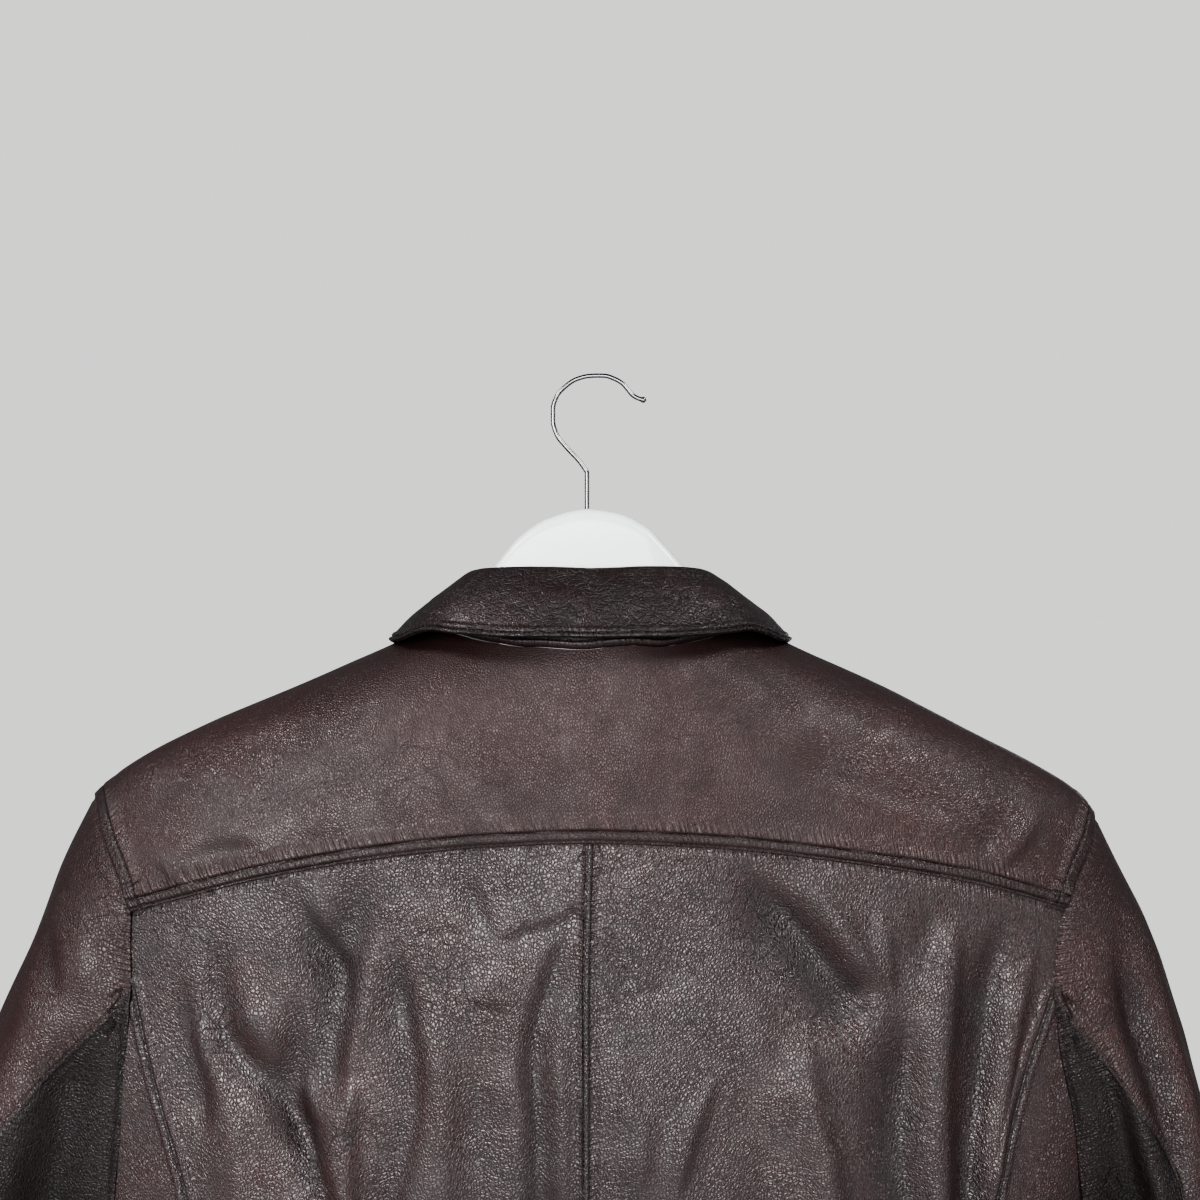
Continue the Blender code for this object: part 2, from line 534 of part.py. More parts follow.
def add_yoke(seams):
    """The back yoke: two wings over the shoulders and the stretch between them below the neck."""
    edges = {side: yoke_edge(side) for side in (LEFT, RIGHT)}
    wings, inner_lines = [], {}
    for side in (LEFT, RIGHT):
        own = seams[side]
        lower = edges[side][: WING_COLUMNS + 1]
        down = line(own.split, lower[-1], YOKE_LOWER_ROWS)
        inner = np.concatenate([own.neck_front_yoke[::-1], own.neck_back[::-1][1:], down[1:]])
        outer = np.concatenate([own.armhole_front_yoke, own.armhole_back_yoke[1:]])
        top = np.stack([at_x(x, YOKE_FRONT_V) for x in np.linspace(
            YOKE_FRONT_ARMHOLE[side], NECK_X + side * NECK_YOKE_FRONT, WING_COLUMNS + 1)])
        grid = patch(top, lower, outer, inner)
        neck_rows = YOKE_FRONT_ROWS + YOKE_NECK_ROWS + 1
        sheet = partly_apart(grid, ("top", "bottom", "left"), "right", slice(neck_rows))
        wings.append(sheet)
        inner_lines[side] = [points[neck_rows - 1:, -1] for points in sheet]
    foot = np.concatenate([edges[LEFT][WING_COLUMNS:], edges[RIGHT][WING_COLUMNS:][::-1][1:]])
    middle_grid = patch(
        neck_middle(seams), foot,
        line(seams[LEFT].split, foot[0], YOKE_LOWER_ROWS),
        line(seams[RIGHT].split, foot[-1], YOKE_LOWER_ROWS),
    )
    middle = panel(middle_grid, ("top", "bottom"))
    for k, points in enumerate(middle):
        points[:, 0] = inner_lines[LEFT][k]
        points[:, -1] = inner_lines[RIGHT][k]
    return add_wall("back_yoke", [*wings, middle], "leather")


def add_backs(own):
    """One back panel between centre seam and side seam, and the side back panel beside it."""
    side_name = "left" if own.side == LEFT else "right"
    outer = np.concatenate([own.armhole_back, own.side_seam[1:]])
    centre = back_line(CENTRE_SEAM, len(outer))
    hem = np.stack([on_torso(x, HEM_Z) for x in np.linspace(
        SIDE_SEAM[own.side][-1][0], CENTRE_SEAM[-1][0], BACK_COLUMNS + 1)])
    add_wall(f"back_{side_name}", [panel(patch(yoke_edge(own.side), hem, outer, centre))], "leather")
    side_x, hem_beta = SIDE_SEAM[own.side][-1][0], own.side_back[-1][0]
    hem = np.stack([
        on_hem(beta) for beta in np.linspace(on_torso(side_x, HEM_Z)[0], hem_beta, SIDE_COLUMNS + 1)])
    side_panel = panel(patch(own.armhole_side, hem, own.side_seam, own.side_back))
    add_wall(f"side_back_{side_name}", [side_panel], "leather")


def on_hem(beta, facing=1):
    """Gives beta and v of the hem at the angle beta."""
    below = 0.6
    for _ in range(8):
        x = torso(np.array(beta), np.array(length_down(below)))[0]
        below = ridge_z(x) - HEM_Z
    return np.array([beta, facing * length_down(below)])


def add_front(own):
    """One front panel: its main part, the part under the arm, and the strip under the button band."""
    side_name = "left" if own.side == LEFT else "right"
    side = own.side
    edge_x = CENTRE_X + side * BAND_HALF_WIDTH
    yoke_line = np.stack([at_x(x, YOKE_FRONT_V) for x in np.linspace(
        YOKE_FRONT_ARMHOLE[side], NECK_X + side * NECK_YOKE_FRONT, FRONT_WING_COLUMNS + 1)])
    top = np.concatenate([yoke_line, own.neck_front[1:]])
    outer = np.concatenate([own.armhole_front, own.side_front_line[1:]])
    hem = front_hem(outer[-1][0], on_torso(edge_x, HEM_Z, -1)[0], len(top))
    rows = len(outer)
    band_line = line(top[-1], hem[-1], rows - 1)
    main = partly_apart(
        patch(top, hem, outer, band_line), ("top", "bottom"), "left", slice(ARMHOLE_FRONT_ROWS))
    side_hem = front_hem(own.side_front[-1][0], outer[-1][0], SIDE_COLUMNS + 1)
    side_grid = patch(own.armhole_side_front[::-1], side_hem, own.side_front, own.side_front_line)
    under_arm = panel(side_grid, ("top", "bottom", "left"))
    centre_line = line(at_x(CENTRE_X, NECK_FRONT_V), on_torso(CENTRE_X, HEM_Z, -1), rows - 1)
    strip_grid = np.stack([band_line, centre_line], axis=1)
    strip = panel(strip_grid, ("top", "bottom", "right"))
    for points, beside, joined in zip(strip, under_arm, main):
        beside[:, -1] = joined[ARMHOLE_FRONT_ROWS:, 0]
        points[:, 0] = joined[:, -1]
    add_wall(f"front_{side_name}", [main, under_arm, strip], "leather")
    return strip_grid


def front_hem(start, end, count):
    """Spreads points of beta and v along the front hem."""
    return np.stack([on_hem(beta, -1) for beta in np.linspace(start, end, count)])


def add_band(strips):
    """The button band: the points of the two front strips, moved out over the closing edge."""
    grid = np.concatenate([strips[LEFT], strips[RIGHT][:, :1]], axis=1)
    sheet = panel(grid, lift=WALL + SEAM_GAP)
    add_wall("button_band", [sheet], "leather")
    return grid[:, 1]


def add_buttons(centre_line):
    """Five plain turned buttons on the band, each on the cloth's own slope."""
    heights = torso(centre_line[:, 0], centre_line[:, 1])[:, 2]
    profile = [
        (0.0, BUTTON_HEIGHT - BUTTON_RIM * 0.6), (BUTTON_RADIUS * 0.62, BUTTON_HEIGHT - BUTTON_RIM * 0.6),
        (BUTTON_RADIUS * 0.76, BUTTON_HEIGHT), (BUTTON_RADIUS * 0.92, BUTTON_HEIGHT),
        (BUTTON_RADIUS, BUTTON_HEIGHT - BUTTON_RIM), (BUTTON_RADIUS * 0.88, 0.0), (0.0, 0.0),
    ]
    turns = [2 * math.pi * k / BUTTON_SIDES for k in range(BUTTON_SIDES)]
    for number, z in enumerate(BUTTON_Z, start=1):
        v = np.interp(-z, -heights, centre_line[:, 1])
        place = (np.array(centre_line[0, 0]), np.array(v))
        normal = torso_normal(*place)
        seat = torso(*place) + normal * BUTTON_LIFT
        across = np.array([1.0, 0.0, 0.0])
        up = np.cross(normal, across)
        mesh = bmesh.new()
        rings = []
        for radius, height in profile:
            if radius == 0.0:
                rings.append([mesh.verts.new(seat + normal * height)])
                continue
            rings.append([mesh.verts.new(
                seat + normal * height + radius * (across * math.cos(a) + up * math.sin(a))) for a in turns])
        join_rings(mesh, rings)
        finish(f"button_{number}", mesh, "dark_button", 30)


def join_rings(mesh, rings):
    """Joins neighbouring rings of vertices with faces; a ring of one vertex is a tip."""
    for first, second in zip(rings, rings[1:]):
        count = max(len(first), len(second))
        for k in range(count):
            ring = [first[k % len(first)], first[(k + 1) % len(first)],
                    second[(k + 1) % len(second)], second[k % len(second)]]
            corners = [v for i, v in enumerate(ring) if v is not ring[i - 1]]
            mesh.faces.new(corners)


def grid_normals(points, inside):
    """Gives the normals of a grid of points, turned away from the inside points."""
    normals = np.cross(np.gradient(points, axis=0), np.gradient(points, axis=1))
    normals /= np.linalg.norm(normals, axis=2, keepdims=True)
    facing = np.sign(np.sum(normals * (points - inside), axis=2, keepdims=True))
    return normals * facing


def add_collar(seams):
    """The collar stand, which rises from the neckline, and the fall, which folds over it."""
    left = seams[LEFT].neckline()
    right = seams[RIGHT].neckline()
    middle = neck_middle(seams)
    neck = np.concatenate([left[:-1], middle, right[::-1][1:]])
    base = torso(neck[:, 0], neck[:, 1])
    base[0, 0] -= SEAM_GAP
    base[-1, 0] += SEAM_GAP
    offset = base - (NECK_X, 0.0, 0.0)
    turn = np.degrees(np.arctan2(offset[:, 0], -offset[:, 1] * NECK_HALF_WIDTH / NECK_HALF_DEPTH))
    turn[0], turn[-1] = -180.0, 180.0
    fold = around_neck(FOLD, turn)
    edge = around_neck(FALL_EDGE, turn)
    outward = edge - fold
    outward[:, 2] = 0.0
    outward /= np.linalg.norm(outward, axis=1, keepdims=True)
    up = np.array([0.0, 0.0, 1.0])
    stand_top = fold - outward * (FOLD_RADIUS - WALL) - up * (FOLD_RADIUS + STAND_TOP_GAP)
    stand_foot = base - outward * SEAM_GAP + up * SEAM_GAP
    stand = np.stack([stand_foot + (stand_top - stand_foot) * t for t in np.linspace(0.0, 1.0, STAND_ROWS)])
    axis_point = np.array([NECK_X, 0.0, 0.0])
    inside = np.where([1, 1, 0], axis_point, stand) - (0.0, 0.0, 0.05)
    normals = grid_normals(stand, inside)
    add_wall("collar_stand", [(stand, stand - normals * WALL)], "leather")
    rows = [fold + (outward * out + up * rise) * FOLD_RADIUS for out, rise in FOLD_ROWS]
    start, bulging = rows[-1], outward * FALL_OUT + up * FALL_UP
    for t in np.linspace(0.0, 1.0, FALL_ROWS + 1)[1:]:
        rows.append(start + (edge - start) * t + bulging * FALL_BULGE * math.sin(math.pi * t))
    fall = np.stack(rows)
    under_fall = np.broadcast_to(fold - up * FOLD_RADIUS, fall.shape).copy()
    under_fall[len(FOLD_ROWS):] = fall[len(FOLD_ROWS):] - bulging
    normals = grid_normals(fall, under_fall)
    add_wall("collar_fall", [(fall, fall - normals * WALL)], "leather")


def around_neck(stations, turn):
    """Places points round the neck from stations of angle, x, y and z, mirrored about its centre."""
    angles, xs, ys, zs = zip(*stations)
    size = np.abs(turn)
    x, y, z = (through(zip(angles, values))(size) for values in (xs, ys, zs))
    return np.stack([NECK_X + np.sign(turn) * x, y, z], axis=1)


def sleeve_lines(side):
    """The sleeve's outer and inner lines in the plane of the hanger, each at every ring."""
    outer = np.array(SLEEVE_OUTER[side])
    underarm = torso(*(np.array(value) for value in at_side(side, UNDERARM_Z)))[[0, 2]]
    inner = np.array([underarm + (-side * dx, dz) for dx, dz in SLEEVE_INNER_STEP])
    place = np.linspace(0.0, 1.0, SLEEVE_RINGS)
    lag = INNER_EVEN_SHARE * place + (1 - INNER_EVEN_SHARE) * place ** INNER_LAG
    return place, along(outer, place), along(inner, lag)


def add_sleeves(own):
    """The upper and under sleeve: rings that turn from the armhole's shape into ovals."""
    side = own.side
    side_name = "left" if side == LEFT else "right"
    hole = own.armhole()
    start = torso(hole[:, 0], hole[:, 1])
    place, outer, inner = sleeve_lines(side)
    centre = (outer + inner) / 2
    reach = (outer - inner) / 2
    depth = through(SLEEVE_HALF_DEPTH)(place)
    middle_y = through(SLEEVE_MIDDLE_Y)(place)
    size = reach[0] @ reach[0]
    cosine = (start[:, [0, 2]] - centre[0]) @ reach[0] / size
    angle = np.arctan2(-(start[:, 1] - middle_y[0]) / depth[0], cosine)
    held = smooth(place / SLEEVE_HEAD)
    rings = []
    for k in range(SLEEVE_RINGS):
        turned = angle + SLEEVE_TWIST[side] * held[k]
        rings.append(oval(centre[k], reach[k], middle_y[k], depth[k], turned))
    first = rings[0]
    rings = np.stack([ring + (1 - h) * (start - first) for ring, h in zip(rings, held)])
    rings[0, :, 0] += side * SEAM_GAP
    wrapped = np.concatenate([rings[:, -1:], rings, rings[:, :2]], axis=1)
    middles = np.stack([centre[:, 0], middle_y, centre[:, 1]], axis=1)[:, None]
    normals = grid_normals(wrapped, middles)
    height = fold_height(wrapped, SLEEVE_FOLDS[side])
    height *= smooth(place / SLEEVE_FOLD_START)[:, None]
    height *= np.clip(-wrapped[..., 1] / SLEEVE_FOLD_EDGE, 0.0, 1.0)
    wrapped = wrapped + normals * height[..., None]
    shared = torso_normal(hole[:, 0], hole[:, 1])
    shared = np.concatenate([shared[-1:], shared, shared[:2]])
    top_angle = np.concatenate([angle[-1:], angle, angle[:2]])
    weight = smooth((np.cos(top_angle) - RIM_TURN) / RIM_BLEND)[:, None]
    mixed = shared * weight + normals[0] * (1 - weight)
    normals[0] = mixed / np.linalg.norm(mixed, axis=1, keepdims=True)
    back = YOKE_NECK_ROWS + YOKE_LOWER_ROWS + ARMHOLE_BACK_ROWS
    front = len(hole) - YOKE_FRONT_ROWS - ARMHOLE_FRONT_ROWS
    count = len(hole)
    for name, first, last in (("upper", front - count, back), ("under", back, front)):
        columns = [1 + k % count for k in range(first, last + 1)]
        outer_points, out = wrapped[:, columns], normals[:, columns]
        pulled = pull_in(outer_points, out, ("left", "right"), SEAM_GAP / 2)
        add_wall(f"sleeve_{name}_{side_name}", [(pulled, pulled - out * WALL)], "leather")


def oval(centre, reach, middle_y, depth, angle):
    """Gives the points of one oval ring across a sleeve."""
    flat = centre + reach * np.cos(angle)[:, None]
    return np.stack([flat[:, 0], middle_y - depth * np.sin(angle), flat[:, 1]], axis=1)


def smooth(value):
    """Rises softly from 0 to 1."""
    value = np.clip(value, 0.0, 1.0)
    return value * value * (3 - 2 * value)


def add_hanger():
    """The hanger's flat body with round edges, and a hole in its top for the hook's stem."""
    mesh = bmesh.new()
    rings = []
    for x in np.linspace(HANGER_TIP[LEFT], HANGER_TIP[RIGHT], HANGER_SECTIONS):
        top = hanger_top(x)
        height = through(HANGER_HEIGHT)(abs(x))
        thick = min(HANGER_HALF_THICK, height / 2 - 0.0005)
        ring = []
        for middle, first in ((top - thick, 0), (top - height + thick, EDGE_STEPS)):
            for k in range(first, first + EDGE_STEPS + 1):
                turn = math.pi * k / EDGE_STEPS
                ring.append(mesh.verts.new((x, thick * math.cos(turn), middle + thick * math.sin(turn))))
        rings.append(ring)
    join_rings(mesh, rings)
    mesh.faces.new(rings[0][::-1])
    mesh.faces.new(rings[-1])
    body = finish("hanger_body", mesh, "white_satin", 60)
    bpy.ops.mesh.primitive_cylinder_add(
        vertices=16, radius=WIRE_RADIUS + SEAM_GAP, depth=2 * STEM_DEPTH,
        location=(STEM_X, 0.0, hanger_top(STEM_X)))
    cutter = bpy.context.object
    cutter.name = "stem_hole_cutter"
    cutter.hide_render = True
    cutter.display_type = "WIRE"
    hole = body.modifiers.new("stem hole", "BOOLEAN")
    hole.object = cutter
    hole.operation = "DIFFERENCE"


def arm_drop(x):
    """How far the arm's top lies below the shoulder ridge: the wall on its slope, and a small gap."""
    step = 0.004
    slope = (ridge_z(x + step) - ridge_z(x - step)) / (2 * step)
    return (WALL + ARM_CLEARANCE) * math.hypot(1.0, slope)


def hanger_top(x):
    """Height of the hanger's top edge at x."""
    if abs(x) >= HANGER_NECK_X:
        return float(ridge_z(x) - arm_drop(x))
    start, end = ((at, ridge_z(at) - arm_drop(at)) for at in (-HANGER_NECK_X, HANGER_NECK_X))
    return float(through([start, *HANGER_TOP, end])(x))


def add_hook():
    """The wire hook: a stem in the hanger's hole, the bend, and a small ball at its tip."""
    stem_foot = hanger_top(STEM_X) - STEM_DEPTH + STEM_FOOT_GAP
    stem = trace([(STEM_X, stem_foot), HOOK_PATH[0]], 5)[:-1]
    points = np.concatenate([stem, trace(HOOK_PATH, BEND_STEPS)])
    curve = bpy.data.curves.new("hanger_hook", "CURVE")
    curve.dimensions = "3D"
    curve.bevel_depth = WIRE_RADIUS
    curve.bevel_resolution = 3
    curve.use_fill_caps = True
    spline = curve.splines.new("POLY")
    spline.points.add(len(points) - 1)
    for index, (x, z) in enumerate(points):
        spline.points[index].co = (x, 0.0, z, 1.0)
        from_end = len(points) - 1 - index
        if from_end < len(BALL_SCALE):
            spline.points[index].radius = BALL_SCALE[from_end]
    curve.materials.append(bpy.data.materials["chrome"])
    hook = bpy.data.objects.new("hanger_hook", curve)
    bpy.context.collection.objects.link(hook)


def main():
    """Builds the jacket and its hanger."""
    for old in list(bpy.data.objects):
        bpy.data.objects.remove(old, do_unlink=True)
    add_materials()
    seams = {side: Seams(side) for side in (LEFT, RIGHT)}
    add_yoke(seams)
    strips = {}
    for side in (LEFT, RIGHT):
        add_backs(seams[side])
        strips[side] = add_front(seams[side])
        add_sleeves(seams[side])
    add_buttons(add_band(strips))
    add_collar(seams)
    add_hanger()
    add_hook()


main()
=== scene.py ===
"""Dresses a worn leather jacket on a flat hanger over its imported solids.

Metres, +Z up. The back of the jacket faces -Y, its front +Y, and the wearer's left lies towards -X. The
origin is the top of the inside of the hook. The torso is one surface with two coordinates: beta, the angle
round the jacket from its centre line, and v, the length down from the shoulder ridge, positive on the
back. Each leather piece is a fine wall between the same seam lines as its solid, with folds, seam bands and
puckers raised in it.
"""

from __future__ import annotations

import logging
import math
from abc import ABC, abstractmethod
from collections.abc import Callable, Sequence
from dataclasses import dataclass, field
from enum import Enum

import bpy
import numpy as np
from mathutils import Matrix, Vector
from numpy.typing import NDArray

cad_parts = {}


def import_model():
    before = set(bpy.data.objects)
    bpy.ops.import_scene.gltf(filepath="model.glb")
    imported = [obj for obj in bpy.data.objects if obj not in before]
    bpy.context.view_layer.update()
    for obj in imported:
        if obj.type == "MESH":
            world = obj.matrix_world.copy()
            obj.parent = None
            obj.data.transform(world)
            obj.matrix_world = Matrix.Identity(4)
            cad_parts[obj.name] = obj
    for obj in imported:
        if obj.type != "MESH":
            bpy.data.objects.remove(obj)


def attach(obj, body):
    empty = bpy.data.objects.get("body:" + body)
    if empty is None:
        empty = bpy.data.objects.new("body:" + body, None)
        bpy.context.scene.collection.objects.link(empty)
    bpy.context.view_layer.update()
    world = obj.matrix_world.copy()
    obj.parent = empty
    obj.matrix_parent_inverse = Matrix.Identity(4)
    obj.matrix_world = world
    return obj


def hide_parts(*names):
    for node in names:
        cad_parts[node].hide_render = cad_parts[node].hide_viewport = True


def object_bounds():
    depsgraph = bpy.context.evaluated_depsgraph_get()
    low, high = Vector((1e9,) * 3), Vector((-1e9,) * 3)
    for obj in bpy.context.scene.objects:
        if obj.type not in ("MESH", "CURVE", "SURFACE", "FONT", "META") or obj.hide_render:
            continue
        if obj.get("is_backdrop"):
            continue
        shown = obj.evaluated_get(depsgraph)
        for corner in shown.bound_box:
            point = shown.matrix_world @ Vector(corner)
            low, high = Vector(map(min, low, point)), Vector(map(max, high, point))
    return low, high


LOG = logging.getLogger("jacket")
Floats = NDArray[np.float64]
Points = Sequence[tuple[float, float]]
Input = bpy.types.NodeSocket | float | tuple
WALL = 0.0018
SEAM_GAP = 0.0003
GIRTH_PER_RADIAN = 0.27
HALF_TURN = math.pi / 2
HEM_ROW = 0.012
SPREAD_SAMPLES = 4000
BLOCK = 4000


class Side(Enum):
    """The wearer's left or right, by its sign along X."""

    LEFT = -1
    RIGHT = 1

    @property
    def word(self) -> str:
        """The side's name in the pieces' names."""
        return self.name.lower()


def smooth(value: Floats | float) -> Floats:
    """Rises softly from 0 to 1 as value does, and stays flat beyond.

    Args:
        value: Any numbers.

    Returns:
        The softened numbers, from 0 to 1.
    """
    value = np.clip(value, 0.0, 1.0)
    return value * value * (3 - 2 * value)


class Graph:
    """A smooth function through (position, value) points that never overshoots them."""

    def __init__(self, points: Points) -> None:
        """Sets the function.

        Args:
            points: Positions that rise, each with its value.
        """
        self.places, self.values = np.array(list(points), dtype=float).T
        self.steps = np.diff(self.places)
        slopes = np.diff(self.values) / self.steps
        self.bends = np.zeros(len(self.places))
        self.bends[0], self.bends[-1] = slopes[0], slopes[-1]
        same_way = slopes[:-1] * slopes[1:] > 0
        total = np.where(same_way, slopes[:-1] + slopes[1:], 1.0)
        self.bends[1:-1] = np.where(same_way, 2 * slopes[:-1] * slopes[1:] / total, 0.0)

    def __call__(self, place: Floats | float) -> Floats:
        """Reads the function.

        Args:
            place: Positions; those outside the points take the value at the nearest end.

        Returns:
            The value at each position.
        """
        place = np.clip(place, self.places[0], self.places[-1])
        i = np.clip(np.searchsorted(self.places, place, side="right") - 1, 0, len(self.steps) - 1)
        step, t = self.steps[i], (place - self.places[i]) / self.steps[i]
        low = (1 + 2 * t) * (1 - t) ** 2 * self.values[i] + t * (1 - t) ** 2 * step * self.bends[i]
        high = t * t * (3 - 2 * t) * self.values[i + 1] - t * t * (1 - t) * step * self.bends[i + 1]
        return low + high


class Noise:
    """Smooth random numbers from -1 to 1 in space, the same in every run."""

    SIZE = 32

    def __init__(self, seed: int, cell: tuple[float, float, float]) -> None:
        """Draws the numbers from a seed, for cells of one size along x, y and z."""
        self.cell = np.array(cell)
        self.table = np.random.default_rng(seed).uniform(-1.0, 1.0, (self.SIZE,) * 3)

    def __call__(self, points: Floats) -> Floats:
        """Reads the noise at points.

        Args:
            points: Places, with x, y and z in the last axis.

        Returns:
            One number for each place.
        """
        place = points / self.cell
        low = np.floor(place).astype(int)
        part = place - low
        part = part * part * (3 - 2 * part)
        total = np.zeros(points.shape[:-1])
        for corner in np.ndindex(2, 2, 2):
            share = np.prod(np.where(corner, part, 1 - part), axis=-1)
            i, j, k = np.moveaxis((low + corner) % self.SIZE, -1, 0)
            total += share * self.table[i, j, k]
        return total


class Line(ABC):
    """A line that is read at fractions of its length."""

    @abstractmethod
    def at(self, fractions: Floats) -> Floats:
        """Gives the points at fractions from 0 to 1, one row for each."""


class SmoothLine(Line):
    """A smooth line through points, whose length is measured with a scale for each coordinate."""

    def __init__(self, points: Sequence[Sequence[float]], scale: Sequence[float] | float = 1.0) -> None:
        """Sets the line.

        Args:
            points: The points it passes through.
            scale: How much each coordinate counts in its length.
        """
        stops = np.array(points, dtype=float)
        lengths = np.concatenate([[0.0], np.cumsum(np.linalg.norm(np.diff(stops, axis=0) * scale, axis=1))])
        self.length = lengths[-1]
        self.graphs = [Graph(zip(lengths, column)) for column in stops.T]

    def at(self, fractions: Floats) -> Floats:
        """Gives the points at fractions of the length."""
        return np.stack([graph(np.asarray(fractions) * self.length) for graph in self.graphs], axis=-1)


def seam_line(points: Sequence[Floats]) -> SmoothLine:
    """A smooth line through points of beta and v."""
    return SmoothLine(points, (GIRTH_PER_RADIAN, 1.0))


@dataclass(frozen=True)
class Formula(Line):
    """A line that a function gives."""

    read: Callable[[Floats], Floats]

    def at(self, fractions: Floats) -> Floats:
        """Gives the points at fractions, from the function."""
        return self.read(np.asarray(fractions))


@dataclass(frozen=True)
class Stretch(Line):
    """A part of a line, from one fraction to another, or backwards."""

    line: Line
    start: float = 0.0
    end: float = 1.0

    def at(self, fractions: Floats) -> Floats:
        """Gives the points at fractions of the part."""
        return self.line.at(self.start + np.asarray(fractions) * (self.end - self.start))


def reverse(line: Line) -> Stretch:
    """The same line, read from its other end."""
    return Stretch(line, 1.0, 0.0)


@dataclass(frozen=True)
class Chain(Line):
    """Lines end to end, each with its number of steps, which share the fractions by their steps."""

    parts: tuple[tuple[Line, int], ...]

    def at(self, fractions: Floats) -> Floats:
        """Gives the points at fractions of the chain.

        Args:
            fractions: From 0 to 1, each line taking the share of its steps.

        Returns:
            One point for each fraction.
        """
        fractions = np.asarray(fractions)
        total = sum(steps for _, steps in self.parts)
        result = np.zeros((*fractions.shape, 2))
        start = 0
        for number, (line, steps) in enumerate(self.parts):
            place = fractions * total - start
            last = number == len(self.parts) - 1
            here = (place >= 0 if number else np.full(place.shape, True)) & ((place < steps) | last)
            result[here] = line.at(np.clip(place[here] / steps, 0.0, 1.0))
            start += steps
        return result


def straight(start: Floats, end: Floats) -> Formula:
    """An even straight line of beta and v between two points."""
    start, end = np.asarray(start), np.asarray(end)
    return Formula(lambda f: start + (end - start) * np.asarray(f)[..., None])


def spread(stops: Points) -> Floats:
    """Spreads fractions from 0 to 1 with a spacing that changes along the way.

    Args:
        stops: Positions along the line in metres, the first 0 and the last its length, each with its spacing.

    Returns:
        The fractions, from 0 to 1.
    """
    places, spacings = np.array(stops, dtype=float).T
    fine = np.linspace(0.0, places[-1], SPREAD_SAMPLES)
    density = 1 / np.interp(fine, places, spacings)
    count = np.concatenate([[0.0], np.cumsum((density[1:] + density[:-1]) / 2 * np.diff(fine))])
    steps = max(int(round(count[-1])), 2)
    return np.interp(np.linspace(0.0, count[-1], steps + 1), count, fine) / places[-1]


def nearest(points: Floats, line: Floats) -> tuple[Floats, Floats, Floats]:
    """Measures points against an open line of points, in the plane or in space.

    Args:
        points: One point a row.
        line: The line's points, one a row.

    Returns:
        The distance from the line, the length along it, and the side of it (-1 or 1, in the plane only).
    """
    starts, ways = line[:-1], np.diff(line, axis=0)
    sizes = np.maximum(np.sum(ways * ways, axis=1), 1e-18)
    lengths = np.concatenate([[0.0], np.cumsum(np.sqrt(sizes))])
    found = np.zeros((3, len(points)))
    for first in range(0, len(points), BLOCK):
        block = points[first:first + BLOCK]
        offset = block[:, None] - starts
        t = np.clip(np.sum(offset * ways, axis=2) / sizes, 0.0, 1.0)
        gap = offset - t[..., None] * ways
        square = np.sum(gap * gap, axis=2)
        best = np.argmin(square, axis=1)
        row = np.arange(len(block))
        found[0, first:first + BLOCK] = np.sqrt(square[row, best])
        found[1, first:first + BLOCK] = lengths[best] + t[row, best] * np.sqrt(sizes[best])
        if points.shape[1] == 2:
            way, away = ways[best], gap[row, best]
            found[2, first:first + BLOCK] = np.sign(way[:, 0] * away[:, 1] - way[:, 1] * away[:, 0])
    return found[0], found[1], found[2]


